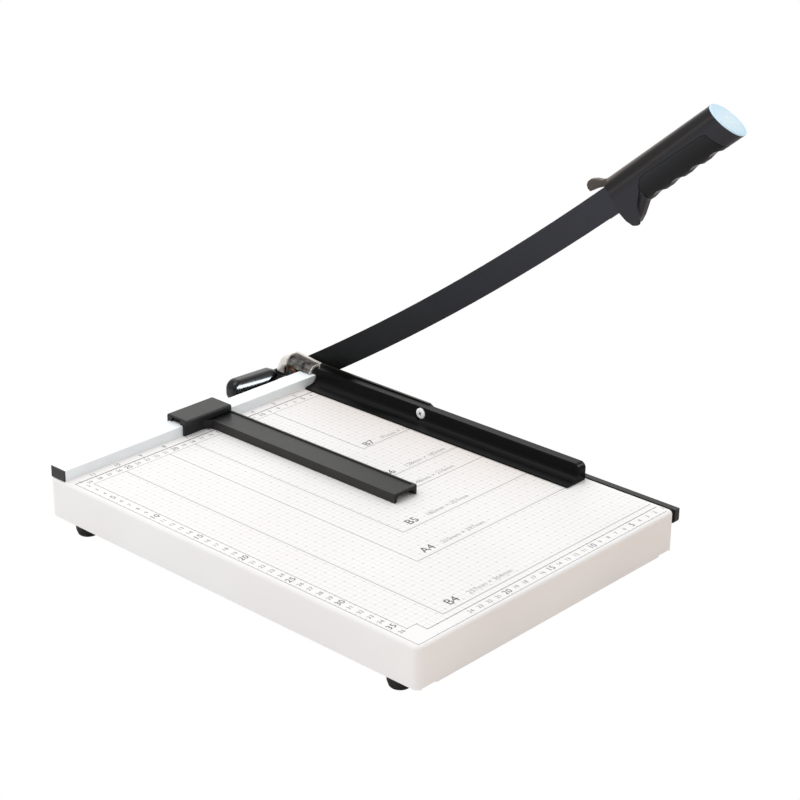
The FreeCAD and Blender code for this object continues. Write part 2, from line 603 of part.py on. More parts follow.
bar = prism("carrier_bar", "YZ_Plane", [
    ("rail_front - carrier_bar_reach", "board_top + carrier_bar_bottom"),
    ("web_front + 2", "board_top + carrier_bar_bottom"), ("web_front + 2", "web_front_top - 0.4"),
    ("rail_front - 0.9", "board_top + carrier_bar_top + 0.8"),
    ("rail_front - carrier_bar_shoulder", "board_top + carrier_bar_top + 0.6"),
    ("rail_front - carrier_bar_reach + 9.5", "board_top + carrier_bar_top"),
    ("rail_front - carrier_bar_reach + 4", "board_top + carrier_bar_top - 3"),
    ("rail_front - carrier_bar_reach", "board_top + carrier_bar_top - 3.4")],
    "carrier_sheet", ("leg_inner", "0", "0"))
tab_flat = box("lever_tab", ("lever_left", "lever_back - carrier_sheet", "lever_bottom"),
               ("lever_reach + hood_bend + 2", "carrier_sheet", "lever_height"))
tab = rounded("lever_tab_round", tab_flat, "lever_end_radius",
              lambda mid, span: span.YLength > 1 and mid.x < number("lever_left") + 1)
leg_bore = rod("leg_bore", "bush_radius + screw_fit", "carrier_sheet + 4", ("leg_inner - 2",) + AXIS, "X")
GUARD_SCREW_Y = "rail_front - guard_screw_reach"
GUARD_SCREW_Z = "board_top + guard_screw_height"
bar_hole = rod("bar_hole", "guard_screw_radius + screw_fit", "carrier_sheet + 4",
               ("leg_inner - 2", GUARD_SCREW_Y, GUARD_SCREW_Z), "X")
slices = [box(f"groove_slice_{index}", (f"web_near + hood_groove_start + hood_groove_pitch * {index}",
                                        "web_front - 1", "rail_top + hood_rail_gap + 2"),
              ("hood_groove_width", "hood_groove_length + 1", "20"))
          for index in range(int(SIZES["hood_groove_count"]))]
grooves = cut("hood_grooves", fuse("groove_slices", *slices), hood_block("hood_core", "hood_groove_depth"))
hood_open = cut("hood_open", hood, hood_opening, hood_step, hood_under, hood_far_open)
node("presser_carrier", cut("presser_carrier", fuse("carrier_blank", hood_open, leg, bar, tab),
                            leg_bore, bar_hole, grooves))

SLEEVE_BACK = "lever_back + sleeve_back"
sleeve = body("sleeve_body")
pad(sleeve, polygon(sleeve, "sleeve_outline", "XZ_Plane", [
    ("sleeve_left", "board_top - sleeve_below"), ("sleeve_left", "board_top + sleeve_top_left"),
    ("sleeve_left + sleeve_length", "board_top + sleeve_top_right"),
    ("sleeve_left + sleeve_length", "board_top - sleeve_below")]), "sleeve_depth")
soften(sleeve, "sleeve_top_corners", "sleeve_top_radius",
       lambda mid, span: span.YLength > 5 and mid.z > number("board_top"))
soften(sleeve, "sleeve_bottom_corners", "sleeve_bottom_radius",
       lambda mid, span: span.YLength > 5 and span.ZLength < 0.01 and span.XLength < 0.01
       and mid.z < number("board_top - sleeve_below") + 1)
soften(sleeve, "sleeve_edges", "sleeve_edge_radius", lambda mid, span: span.YLength < 0.01)
put(sleeve, ("0", SLEEVE_BACK, "0"))
collar = box("sleeve_collar", ("sleeve_left + sleeve_length - sleeve_edge_radius",
                               "lever_back - carrier_sheet - collar_wall", "lever_bottom - collar_wall"),
             ("web_near - 0.4 - (sleeve_left) - sleeve_length + sleeve_edge_radius",
              "carrier_sheet + 2 * collar_wall", "lever_height + 2 * collar_wall"))
sleeve_slot = box("sleeve_slot", ("lever_left - sleeve_fit", "lever_back - carrier_sheet - sleeve_fit",
                                  "lever_bottom - sleeve_fit"),
                  ("lever_reach + 5", "carrier_sheet + 2 * sleeve_fit", "lever_height + 2 * sleeve_fit"))
node("lever_sleeve", cut("lever_sleeve", fuse("sleeve_blank", sleeve, collar), sleeve_slot))

# ---------------------------------------------------------------- presser guard
GUARD_FRONT = "guard_rear - guard_length"
GUARD_TOP = "board_top + guard_height + guard_lift"
guard = body("guard_body")
pad(guard, polygon(guard, "guard_section", "XZ_Plane", [
    ("guard_near", "guard_bottom"), ("guard_far", "guard_bottom"), ("guard_far", GUARD_TOP),
    ("guard_far - guard_top_width + 0.8", GUARD_TOP), ("guard_far - guard_top_width", f"{GUARD_TOP} - 1.2"),
    ("guard_far - guard_top_width - 1.6", "guard_bottom + guard_flange + 2"),
    ("guard_near", "guard_bottom + guard_flange")]), "guard_length")
soften(guard, "guard_hollow", "guard_hollow_radius",
       lambda mid, span: span.YLength > 50 and abs(mid.z - number("guard_bottom + guard_flange + 2")) < 0.1)
put(guard, ("0", "guard_rear", "0"))
CAVITY = ("guard_far - guard_top_width + 1.4", "guard_top_width - 3.2", "guard_height - 2")
front_hollow = box("guard_cavity_front", (CAVITY[0], f"{GUARD_FRONT} + 3", "guard_bottom - 1"),
                   (CAVITY[1], f"{GUARD_SCREW_Y} - 12 - ({GUARD_FRONT})", f"{CAVITY[2]} + 1"))
rear_hollow = box("guard_cavity_rear", (CAVITY[0], f"{GUARD_SCREW_Y} + 9", "guard_bottom - 1"),
                  (CAVITY[1], f"guard_rear - 12 - ({GUARD_SCREW_Y})", f"{CAVITY[2]} + 1"))
SEAT_X = "guard_far - guard_top_width + 0.6"
guard_bore = rod("guard_bore", "guard_screw_radius + screw_fit", "20",
                 (f"{SEAT_X} - 3", GUARD_SCREW_Y, GUARD_SCREW_Z), "X")
guard_seat = rod("guard_seat", "guard_head_radius + 0.7", "12",
                 (f"{SEAT_X} - 12", GUARD_SCREW_Y, GUARD_SCREW_Z), "X")
doc.recompute()
nose_block = box("nose_block", ("guard_near", f"{GUARD_FRONT} - 1", f"{GUARD_TOP} - guard_nose_radius"),
                 ("guard_width + 1", "guard_nose_radius + 1", "guard_nose_radius + 1"))
nose_round = rod("nose_round", "guard_nose_radius", "guard_width + 4",
                 ("guard_near - 1", f"{GUARD_FRONT} + guard_nose_radius",
                  f"{GUARD_TOP} - guard_nose_radius"), "X")
guard_nose = cut("guard_nose", nose_block, nose_round)
presser_guard = cut("presser_guard", guard, front_hollow, rear_hollow, guard_bore, guard_seat, guard_nose)
presser_guard.Refine = False
node("presser_guard", presser_guard)
node("guard_screw", screw("guard_screw", "guard_screw_radius", f"leg_outer - ({SEAT_X}) + guard_nut_length",
                          "guard_head_radius", "guard_head_height",
                          (SEAT_X, GUARD_SCREW_Y, GUARD_SCREW_Z), "-X"))
node("guard_nut", nut("guard_nut", "guard_nut_across", "guard_nut_length", "guard_screw_radius + screw_fit",
                      ("leg_outer", GUARD_SCREW_Y, GUARD_SCREW_Z), "X"))

# ---------------------------------------------------------------- cutting blade
# The arm's own frame: the pivot is its origin, the closed blade runs along -Y and +X points outwards.
CURVE_Z = "blade_curve_radius - blade_sag"


def arm_place(obj):
    """Put a finished piece of the arm on the pivot, at the angle of the raised arm."""
    obj.Placement = Placement(Vector(), Rotation(Vector(-1, 0, 0), SIZES["blade_open_angle"]))
    for axis, text in zip("xyz", ("blade_face",) + AXIS):
        obj.setExpression("Placement.Base." + axis, formula(text))
    obj.setExpression("Placement.Rotation.Angle", formula("blade_open_angle"))
    return obj


def handle_place(obj):
    """Put a piece drawn along the handle's own axis into the arm's frame."""
    obj.Placement = Placement(Vector(), Rotation(Vector(-1, 0, 0), SIZES["handle_tilt"]))
    for axis, text in zip("xyz", ("0", "0 - handle_start", "0 - handle_drop")):
        obj.setExpression("Placement.Base." + axis, formula(text))
    obj.setExpression("Placement.Rotation.Angle", formula("handle_tilt"))
    return obj


def curved_strip(name, low, length, grow):
    """A strip bent to the blade's curve; grow widens it on both edges."""
    outer = rod(name + "_outer", f"blade_curve_radius + blade_width / 2 + {grow}", length,
                (low, "0 - blade_belly", CURVE_Z), "X")
    inner = rod(name + "_inner", f"blade_curve_radius - blade_width / 2 - {grow}", f"{length} + 2",
                (f"{low} - 1", "0 - blade_belly", CURVE_Z), "X")
    return cut(name + "_ring", outer, inner)


def tang_slab(name, grow, low, thickness):
    """The blade's narrow tang, drawn in the handle's frame; grow moves its outline outwards."""
    return prism(name, "YZ_Plane", [
        ("3 - root_start", f"0.6 + tang_root_height / 2 + {grow}"),
        ("3 - root_start", f"0.6 - tang_root_height / 2 - {grow}"),
        (f"0 - tang_length - {grow}", f"1 - tang_tip_height / 2 - {grow}"),
        (f"0 - tang_length - {grow}", f"1 + tang_tip_height / 2 + {grow}")], thickness, (low, "0", "0"))


TANG_NEAR = "tang_skin + screw_fit"
arm_ring = curved_strip("blade", "0", "blade_thickness", "0")
arm_span = box("blade_span", ("0 - 1", "0 - blade_tip", "0 - 60"),
               ("blade_thickness + 2", "blade_tip", "120"))
front_block = box("front_block", ("0 - 1", "screw_fit - root_start", "0 - 120"),
                  ("blade_thickness + 2", "handle_start + 60", "240"))
arm_front = handle_place(group("blade_front", front_block))
TAIL_Z = "blade_curve_radius - blade_sag - sqrt(blade_curve_radius ^ 2 - blade_belly ^ 2)"
arm_tail = rod("blade_tail", "blade_width / 2", "blade_thickness", ("0", "0", TAIL_Z), "X")
edge_cone = doc.addObject("Part::Cone", "edge_cone")
bind(edge_cone, Radius1="blade_curve_radius + blade_width / 2",
     Radius2="blade_curve_radius + blade_width / 2 - edge_bevel_height", Height="edge_bevel_width")
put(edge_cone, ("blade_thickness - edge_bevel_width", "0 - blade_belly", CURVE_Z), "X")
edge_disc = rod("edge_disc", "blade_curve_radius + blade_width / 2 + 5", "edge_bevel_width + 1",
                ("blade_thickness - edge_bevel_width", "0 - blade_belly", CURVE_Z), "X")
edge_waste = cut("edge_waste", edge_disc, edge_cone)
edge_span = box("edge_span", ("0 - 1", "0 - handle_start + 4", "0 - 60"),
                ("blade_thickness + 2", "handle_start - 22", "120"))
bevel = common("edge_bevel", edge_waste, edge_span)
blade_bore = rod("blade_bore", "pivot_radius + screw_fit", "blade_thickness + 2", ("0 - 1", "0", "0"), "X")


def handle_screw_place(obj, index, low):
    """Put a piece drawn round the X axis onto one of the handle screws, in the arm's frame."""
    obj.Placement = Placement(Vector(), obj.Placement.Rotation)
    along = f"(handle_screw_start + {index} * handle_screw_pitch)"
    obj.setExpression("Placement.Base.x", formula(low))
    obj.setExpression("Placement.Base.y", formula(f"0 - handle_start - {along} * cos(handle_tilt * 1 deg)"))
    obj.setExpression("Placement.Base.z", formula(f"0 - handle_drop + {along} * sin(handle_tilt * 1 deg)"))
    return obj


blade_threads = [
    handle_screw_place(rod(f"blade_thread_{index}", "small_screw_radius + screw_fit", "blade_thickness + 1",
                           ("0", "0", "0"), "X"), index, "0")
    for index in range(2)]
tang = tang_slab("tang", "0", TANG_NEAR, f"blade_thickness - ({TANG_NEAR})")
tang = handle_place(group("tang_placed", tang))
blade_strip = common("blade_strip", common("blade_bar", arm_ring, arm_span), arm_front)
blade_blank = fuse("blade_blank", blade_strip, tang, arm_tail)
node("cutting_blade", arm_place(cut("cutting_blade", blade_blank, bevel, blade_bore, *blade_threads)))

# ---------------------------------------------------------------- handle
# Drawn along its own axis: -Y towards the free end, +Z towards its upper edge, +X outwards.
MID_X = "handle_width / 2"
MID_Z = "0.8"


def oval_bar(name, trim, start, end):
    """An oval bar along the handle; trim makes it thinner all round."""
    ring = doc.addObject("Part::Ellipse", name + "_ring")
    bind(ring, MajorRadius=f"handle_height / 2 - ({trim})", MinorRadius=f"handle_width / 2 - ({trim})")
    ring.Placement.Rotation = Rotation(Vector(0, 0, 1), Vector(1, 0, 0), Vector(0, 1, 0), "XYZ")
    for axis, text in zip("xyz", (MID_X, f"0 - {start}", MID_Z)):
        ring.setExpression("Placement.Base." + axis, formula(text))
    bar = doc.addObject("Part::Extrusion", name)
    bar.Base = ring
    bar.DirMode = "Custom"
    bar.Dir = Vector(0, -1, 0)
    bar.Solid = True
    return bind(bar, LengthFwd=f"{end} - ({start})")


def unit(value):
    """A number of the handle's outline, drawn for a bar 33 high; a formula stays as it is."""
    return value if isinstance(value, str) else f"{value} * handle_unit"


def handle_prism(name, outline, low, thickness):
    """A slab with an outline of (along, up) points in the handle's frame."""
    points = [(f"0 - ({unit(along)})", unit(up)) for along, up in outline]
    return prism(name, "YZ_Plane", points, thickness, (low, "0", "0"))


def end_box(name, back, length):
    """A block whose near face lies on the handle's slanted end, moved back along the axis."""
    block = doc.addObject("Part::Box", name)
    bind(block, Length="handle_width * 2", Width=length, Height="handle_height * 4")
    holder = group(name + "_turned", block)
    put(block, ("0 - handle_width / 2", f"0 - ({length})", "0 - handle_height * 2"))
    holder.Placement = Placement(Vector(), Rotation(Vector(-1, 0, 0), SIZES["handle_end_slant"]))
    holder.setExpression("Placement.Base.y", formula(f"{back} - handle_length"))
    holder.setExpression("Placement.Base.z", formula(MID_Z))
    holder.setExpression("Placement.Rotation.Angle", formula("handle_end_slant"))
    return holder


bar = oval_bar("grip_bar", "0", "root_start", "handle_length * 1.25")
beyond = end_box("grip_end", "handle_cap / cos(handle_end_slant * 1 deg)", "handle_length / 2")
finger_grooves = [
    rod(f"finger_groove_{index}", "groove_radius", "handle_width + 4",
        ("0 - 2", f"0 - groove_start - groove_pitch * {index}",
         f"{MID_Z} - handle_height / 2 + groove_depth - groove_radius"), "X")
    for index in range(4)]
grip = cut("grip_shaped", bar, beyond, *finger_grooves)


def lobe_edges(low, high):
    """A test for the upright corners of a lobe between two heights of the handle's outline."""
    return lambda mid, span: (span.YLength < 0.01
                              and number(f"{low} * handle_unit") < mid.z < number(f"{high} * handle_unit"))


root_flat = handle_prism("root_flat", [
    ("root_start", 12.1), (23.2, 9.3), (33.7, 7.7), (55, 6), (60, 4), (60, 0), (50, -4), (36.3, -3.2),
    (28, -11.5), ("root_start", -11.9)], "0", MID_X)
root_tip = handle_prism("root_tip", [
    ("root_start", 8), (31, 0), (36.3, -3.2), (25.2, -14.4), (19.4, -24.6), (17.6, -28.6), (12.2, -26),
    (8.6, -20), ("root_start", -11.9)], "0", "lobe_near + lobe_step")
tip_bend = rounded("root_tip_bend", root_tip, "7 * handle_unit", lobe_edges("-24", "-13"))
tip_round = rounded("root_tip_round", tip_bend, "2 * handle_unit", lobe_edges("-30", "-25"))
tip_soft = rounded("root_tip_soft", tip_round, "lobe_step",
                   lambda mid, span: abs(mid.x - number("lobe_near + lobe_step")) < 0.01
                   and mid.z < number("0 - 13 * handle_unit"))
root_lobe = handle_prism("root_lobe", [
    ("root_start", 8), (36, 8), (36, -13), (31, -15.6), (20.5, -22.6), (14, -25.6), (9.8, -25), (7.6, -18),
    ("root_start", -10)], "lobe_near", "lobe_outer - lobe_near")
lobe_round = rounded("root_lobe_round", root_lobe, "4 * handle_unit", lobe_edges("-30", "-14"))
lobe_swell = rounded("root_lobe_swell", lobe_round, "lobe_swell",
                     lambda mid, span: abs(mid.x - number("lobe_near")) < 0.01
                     and mid.z < number("0 - 13 * handle_unit"))
lobe_soft = rounded("root_lobe_soft", lobe_swell, "1.5 * handle_unit",
                    lambda mid, span: abs(mid.x - number("lobe_outer")) < 0.01
                    and mid.z < number("0 - 13 * handle_unit"))
thumb_guard = handle_prism("thumb_guard", [
    (-18.2, 17.2), (-19, 20.3), (-17.9, 23.4), (-15.2, 25), (-11.5, 25), (-7.5, 23), (-3, 19.6),
    (5, 17.2), (24, 16.6), (24, 6), ("root_start", 8), (-3, 13.6), (-9.5, 15.8)],
    "handle_width * 0.55", "handle_width * 0.36")
guard_soft = rounded("thumb_guard_soft", thumb_guard, "1.8 * handle_unit",
                     lambda mid, span: span.XLength < 0.01 and mid.z > number("16.8 * handle_unit"))
handle_blank = fuse("handle_blank", grip, root_flat, tip_soft, lobe_soft, guard_soft)

insert_outline = [
    ("insert_start + 0.5", "0 - 40"), ("insert_start", "0 - 6"), ("insert_start + 2", "0 - 2.4"),
    ("insert_start + 6", "insert_top - 0.4"), ("insert_start + 10", "insert_top + 0.6"),
    ("insert_end - 10", "insert_top - 0.6"), ("insert_end - 6", "insert_top - 2.2"),
    ("insert_end - 4", "0 - 6"), ("insert_end - 2", "0 - 11"), ("insert_end + 1", "0 - 18"),
    ("insert_end + 4", "0 - 40")]


def insert_slab(name, grow):
    """The region of the insert; grow moves its outline outwards."""
    owner = body(name)
    middle = "(insert_start + insert_end) / 2"
    points = []
    for along, up in insert_outline:
        side = -1 if "start" in along else 1
        points.append((f"0 - ({along}) - {side} * ({grow})", f"({up}) + ({grow})"))
    pad(owner, polygon(owner, name + "_outline", "YZ_Plane", points), "handle_width + 4")
    return put(owner, ("0 - 2", "0", "0"))


core_fit = oval_bar("core_fit", "insert_depth + screw_fit", "root_start", "handle_length * 1.4")
core = oval_bar("core", "insert_depth", "root_start", "handle_length * 1.4")
recess = cut("insert_recess", insert_slab("recess_slab", "seam_gap"), core_fit)
insert = common("insert_blank", grip, cut("insert_shell", insert_slab("insert_region", "0"), core))
tang_room = tang_slab("tang_room", "screw_fit", "tang_skin", "blade_thickness - tang_skin + screw_fit")
handle_bores = []
for index in range(2):
    bore = rod(f"handle_bore_{index}", "small_screw_radius + screw_fit", "handle_width", ("0", "0", "0"), "X")
    seat = rod(f"handle_seat_{index}", "small_head_radius + 0.5", "handle_width", ("0", "0", "0"), "X")
    handle_bores += [handle_screw_place(bore, index, "blade_thickness - 0.5"),
                     handle_screw_place(seat, index, "handle_width - handle_screw_sink")]
handle_hollow = handle_place(cut("handle_hollow", handle_blank, recess, tang_room))
node("handle_body", arm_place(cut("handle_body", handle_hollow, *handle_bores)))
insert_placed = handle_place(group("insert_placed", insert))
node("grip_insert", arm_place(group("grip_insert", insert_placed)))
cap_bar = oval_bar("cap_bar", "0.2", "handle_length * 0.8", "handle_length * 1.25")
cap_slab = end_box("cap_slab", "handle_cap / cos(handle_end_slant * 1 deg) - 0.01", "handle_cap")
cap_piece = handle_place(common("handle_cap", cap_bar, cap_slab))
node("handle_end_cap", arm_place(group("handle_end_cap", cap_piece)))
SCREW_HOLD = "blade_thickness - tang_skin - 0.4"
handle_screws = [
    handle_screw_place(screw(f"handle_screw_{index}", "small_screw_radius",
                             f"handle_width - handle_screw_sink - blade_thickness + {SCREW_HOLD}",
                             "small_head_radius", "small_head_height", ("0", "0", "0"), "X"),
                       index, "handle_width - handle_screw_sink")
    for index in range(2)]
node("handle_screws", arm_place(group("handle_screws", *handle_screws)))

# ---------------------------------------------------------------- paper stop
HEAD_LEFT = "0 - stop_head_left"
HEAD_TOP = "board_top + stop_head_top"
stop_head = box("stop_head", (HEAD_LEFT, "head_front", "stop_bottom"),
                ("stop_head_width", "stop_head_depth", "stop_head_top - stop_run_gap"))
stop_head_soft = rounded("stop_head_soft", stop_head, "1.8",
                         lambda mid, span: span.ZLength > 5 or mid.z > number(HEAD_TOP) - 0.1)
canopy_room = box("canopy_room", (f"{HEAD_LEFT} - 1", "head_front - 1", "stop_bottom - 1"),
                  ("stop_head_width + 2", "stop_canopy_reach + 1",
                   "stop_head_top - stop_run_gap - stop_canopy + 1"))
stop_arm = box("stop_arm", ("arm_left", "arm_front", "stop_bottom"),
               ("stop_arm_width", "stop_arm_length + stop_canopy_reach + 1", "stop_arm_top - stop_run_gap"))
stop_arm_soft = rounded("stop_arm_soft", stop_arm, "stop_rim_height",
                        lambda mid, span: mid.y < number("arm_front") + 0.1 and span.XLength > 20
                        and mid.z > number("stop_bottom") + 5)
gusset_block = box("gusset_block", ("arm_left - stop_fillet", "head_front + stop_canopy_reach - stop_fillet",
                                    "stop_bottom"),
                   ("stop_fillet + 1", "stop_fillet + 1", "stop_arm_top - stop_run_gap"))
gusset_round = rod("gusset_round", "stop_fillet", "20", ("arm_left - stop_fillet",
                                                         "head_front + stop_canopy_reach - stop_fillet",
                                                         "stop_bottom - 1"))
gusset = cut("gusset", gusset_block, gusset_round)
channel = box("rail_channel", (f"{HEAD_LEFT} - 1", "rail_front - stop_run_gap", "stop_bottom - 1"),
              ("stop_head_width + 2", "rail_depth + 2 * stop_run_gap", "rail_height + 1"))
arm_tunnel = box("arm_tunnel", ("arm_left + stop_arm_wall", "arm_front - 1", "stop_bottom - 1"),
                 ("stop_arm_width - 2 * stop_arm_wall", "stop_arm_length - stop_arm_wall + 1",
                  "stop_arm_top - stop_run_gap - stop_arm_skin - stop_rim_height + 1"))
arm_hollow = rounded("arm_hollow", arm_tunnel, "stop_arch_radius",
                     lambda mid, span: span.YLength > 20 and mid.z > number("stop_bottom"))
arm_tray = box("arm_tray", ("arm_left + stop_rim_width", "arm_front + 2 * stop_rim_width",
                            "board_top + stop_arm_top - stop_rim_height"),
               ("stop_arm_width - 2 * stop_rim_width",
                "stop_arm_length - 2 * stop_rim_width + stop_canopy_reach",
                "0.01 + stop_rim_height"))
LEAF_X = "arm_left - leaf_inset"
LEAF_Y = "rail_back - rail_depth / 2 - leaf_width / 2"
leaf_pocket = box("leaf_pocket", (f"{LEAF_X} - 0.5", f"{LEAF_Y} - stop_run_gap", "rail_top - 1"),
                  ("leaf_length + 1", "leaf_width + 2 * stop_run_gap", "3.2"))
ROLL_X = f"{HEAD_LEFT} + roller_inset"
ROLL_Y = "rail_back - rail_depth / 2"
ROLL_Z = "rail_top + screw_fit + roller_radius"
roll_pocket = box("roll_pocket", (f"{HEAD_LEFT} - 1", f"{ROLL_Y} - roller_length / 2 - 0.2", "rail_top - 1"),
                  ("roller_inset + roller_radius + 1.5", "roller_length + 0.4", "roller_radius * 2 + 1.4"))
axle_bore = rod("axle_bore", "axle_radius + screw_fit", "axle_length + 0.2",
                (ROLL_X, f"{ROLL_Y} - axle_length / 2 - 0.1", ROLL_Z), "Y")
stop_hood = cut("stop_hood", stop_head_soft, canopy_room)
node("paper_stop", cut("paper_stop", fuse("stop_blank", stop_hood, stop_arm_soft, gusset),
                       channel, arm_hollow, arm_tray, leaf_pocket, roll_pocket, axle_bore))
LEAF_R = "leaf_length * 2.4"
LEAF_MIDDLE = f"{LEAF_X} + leaf_length / 2"
LEAF_Z = f"rail_top + screw_fit + {LEAF_R}"
leaf_outer = rod("leaf_outer", LEAF_R, "leaf_width", (LEAF_MIDDLE, LEAF_Y, LEAF_Z), "Y")
leaf_inner = rod("leaf_inner", f"{LEAF_R} - leaf_sheet", "leaf_width + 2",
                 (LEAF_MIDDLE, f"{LEAF_Y} - 1", LEAF_Z), "Y")
leaf_span = box("leaf_span", (LEAF_X, "rail_front", "rail_top"), ("leaf_length", "rail_depth", "6"))
node("stop_leaf_spring", common("stop_leaf_spring", cut("leaf_ring", leaf_outer, leaf_inner), leaf_span))
AXLE_END = "(axle_length - roller_length) / 2"
ROLLER_END = f"axle_length - {AXLE_END}"
node("stop_roller", turned("roller", [
    ("0", "0"), ("axle_radius", "0"), ("axle_radius", AXLE_END), ("roller_radius", AXLE_END),
    ("roller_radius", ROLLER_END), ("axle_radius", ROLLER_END),
    ("axle_radius", "axle_length"), ("0", "axle_length")],
    (ROLL_X, f"{ROLL_Y} - axle_length / 2", ROLL_Z), "Y"))

# ---------------------------------------------------------------- checks and export
doc.recompute()
for obj in doc.Objects:
    if "Invalid" in obj.State or "Error" in obj.State:
        raise RuntimeError(f"{obj.Name}: {obj.State}")
os.makedirs("parts", exist_ok=True)
for label, obj in nodes.items():
    if obj.Shape.isNull() or not obj.Shape.isValid():
        raise RuntimeError(f"{label}: bad shape")
    obj.Shape.exportStep(f"parts/{label}.step")
print(len(nodes), "nodes")
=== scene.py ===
import math

import bmesh
import bpy
from mathutils import Matrix, Vector


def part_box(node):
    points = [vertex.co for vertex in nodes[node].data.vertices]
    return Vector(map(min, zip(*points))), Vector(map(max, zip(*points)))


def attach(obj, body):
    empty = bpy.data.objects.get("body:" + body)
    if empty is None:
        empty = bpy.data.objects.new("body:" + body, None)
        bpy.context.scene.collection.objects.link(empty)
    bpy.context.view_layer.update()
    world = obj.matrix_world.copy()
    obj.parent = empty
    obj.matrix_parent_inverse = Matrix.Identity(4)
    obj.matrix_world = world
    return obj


# The looks of a desk guillotine for paper up to B4: materials, the print on its board, a studio.
# Axes: +X towards the cutting edge, +Y back towards the guide rail, +Z up. Metres.
MM = 0.001
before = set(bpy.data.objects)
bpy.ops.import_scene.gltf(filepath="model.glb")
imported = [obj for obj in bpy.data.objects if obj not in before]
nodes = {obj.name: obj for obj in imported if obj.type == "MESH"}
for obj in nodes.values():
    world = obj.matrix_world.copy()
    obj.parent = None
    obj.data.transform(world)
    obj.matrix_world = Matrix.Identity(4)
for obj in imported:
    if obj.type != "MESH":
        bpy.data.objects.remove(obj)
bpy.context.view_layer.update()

BOARD_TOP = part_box("base_pan")[1].z
CUT_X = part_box("fixed_blade")[1].x + 0.25 * MM
RAIL_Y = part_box("guide_rail")[0].y
HOOD_FRONT = RAIL_Y + 4.4 * MM

# The print's lines, in millimetres left of the cutting edge, or forward of the rail.
FRAME_LEFT = 301.0
FRAME_FRONT = 380.8
INNER_LEFT = 290.0
INNER_FRONT = 370.4
BOX_LEFT = 280.5
BOX_FRONT = 359.7
RIGHT_END = 11.0
GUARD_EDGE = 34.0
SCALE_BACK = 10.0
PAPERS_BACK = 20.0

# The faint grid: the steps between its lines, dashes and marks, and how wide each of them is.
GRID_STEP = 5 * MM
GRID_LINE = 0.36 * MM
DASH_STEP = 1.25 * MM
DASH = 0.72 * MM
MARK_STEP = 10 * MM
MARK = 1.0 * MM

# ---------------------------------------------------------------- node helpers
EVEN = (1, 1, 1)
MOST_NOISE = (0.3, 0.7)
MIX_SOCKETS = {"VECTOR": (4, 5, 1), "RGBA": (6, 7, 2)}


def linear(channel):
    """One sRGB channel, 0 to 255, as linear light."""
    value = channel / 255
    return value / 12.92 if value <= 0.04045 else ((value + 0.055) / 1.055) ** 2.4


def rgb(red, green, blue):
    """An sRGB colour as a shader's colour."""
    return (linear(red), linear(green), linear(blue), 1.0)


def new_material(name):
    """A material with its tree and its Principled shader."""
    made = bpy.data.materials.new(name)
    made.use_nodes = True
    tree = made.node_tree
    return made, tree, tree.nodes["Principled BSDF"]


def feed(tree, socket, value):
    """Link a socket to another one's value, or set it to a constant."""
    if isinstance(value, bpy.types.NodeSocket):
        tree.links.new(value, socket)
    else:
        socket.default_value = value


def place_on(tree, kind="Object"):
    """The place on the object in the frame's axes; Generated gives a direction in the world."""
    return tree.nodes.new("ShaderNodeTexCoord").outputs[kind]


def axes_of(tree, vector):
    """The x, y and z of a vector."""
    parts = tree.nodes.new("ShaderNodeSeparateXYZ")
    tree.links.new(vector, parts.inputs[0])
    return tuple(parts.outputs)


def noise(tree, scale, detail=3.0, stretch=EVEN):
    """A noise texture in the frame's own coordinates."""
    mapping = tree.nodes.new("ShaderNodeMapping")
    mapping.inputs["Scale"].default_value = stretch
    texture = tree.nodes.new("ShaderNodeTexNoise")
    texture.inputs["Scale"].default_value = scale
    texture.inputs["Detail"].default_value = detail
    tree.links.new(place_on(tree), mapping.inputs["Vector"])
    tree.links.new(mapping.outputs["Vector"], texture.inputs["Vector"])
    return texture.outputs["Fac"]


def ramp(tree, value, start, end, low=0.0, high=1.0):
    """The value from start to end mapped to low to high, and held outside."""
    ranged = tree.nodes.new("ShaderNodeMapRange")
    limits = (("From Min", start), ("From Max", end), ("To Min", low), ("To Max", high))
    for socket, limit in limits:
        ranged.inputs[socket].default_value = limit
    tree.links.new(value, ranged.inputs["Value"])
    return ranged.outputs["Result"]


def spread(tree, value, low, high):
    """A noise value mapped to low to high."""
    return ramp(tree, value, *MOST_NOISE, low, high)


def mix(tree, value, first, second, kind="RGBA"):
    """From first to second while the value goes from 0 to 1."""
    mixer = tree.nodes.new("ShaderNodeMix")
    mixer.data_type = kind
    start, end, result = MIX_SOCKETS[kind]
    feed(tree, mixer.inputs[0], value)
    feed(tree, mixer.inputs[start], first)
    feed(tree, mixer.inputs[end], second)
    return mixer.outputs[result]


def mottled(tree, scale, first, second, detail=3.0):
    """A colour that wanders between two."""
    return mix(tree, spread(tree, noise(tree, scale, detail), 0.0, 1.0), first, second)


def math_node(tree, operation, first, second):
    """One operation on two values, each a socket or a constant."""
    step = tree.nodes.new("ShaderNodeMath")
    step.operation = operation
    feed(tree, step.inputs[0], first)
    feed(tree, step.inputs[1], second)
    return step.outputs[0]


def vector_node(tree, operation, first, second=None):
    """One vector operation: NORMALIZE gives a vector, DISTANCE and DOT_PRODUCT give a value."""
    step = tree.nodes.new("ShaderNodeVectorMath")
    step.operation = operation
    feed(tree, step.inputs[0], first)
    if second is not None:
        step.inputs[1].default_value = second
    return step.outputs["Vector" if operation == "NORMALIZE" else "Value"]


def product(tree, first, *others):
    """All the values multiplied."""
    for other in others:
        first = math_node(tree, "MULTIPLY", first, other)
    return first


def above(tree, value, limit):
    """1 where the value is above the limit, else 0."""
    return math_node(tree, "GREATER_THAN", value, limit)


def below(tree, value, limit):
    """1 where the value is below the limit, else 0."""
    return math_node(tree, "LESS_THAN", value, limit)


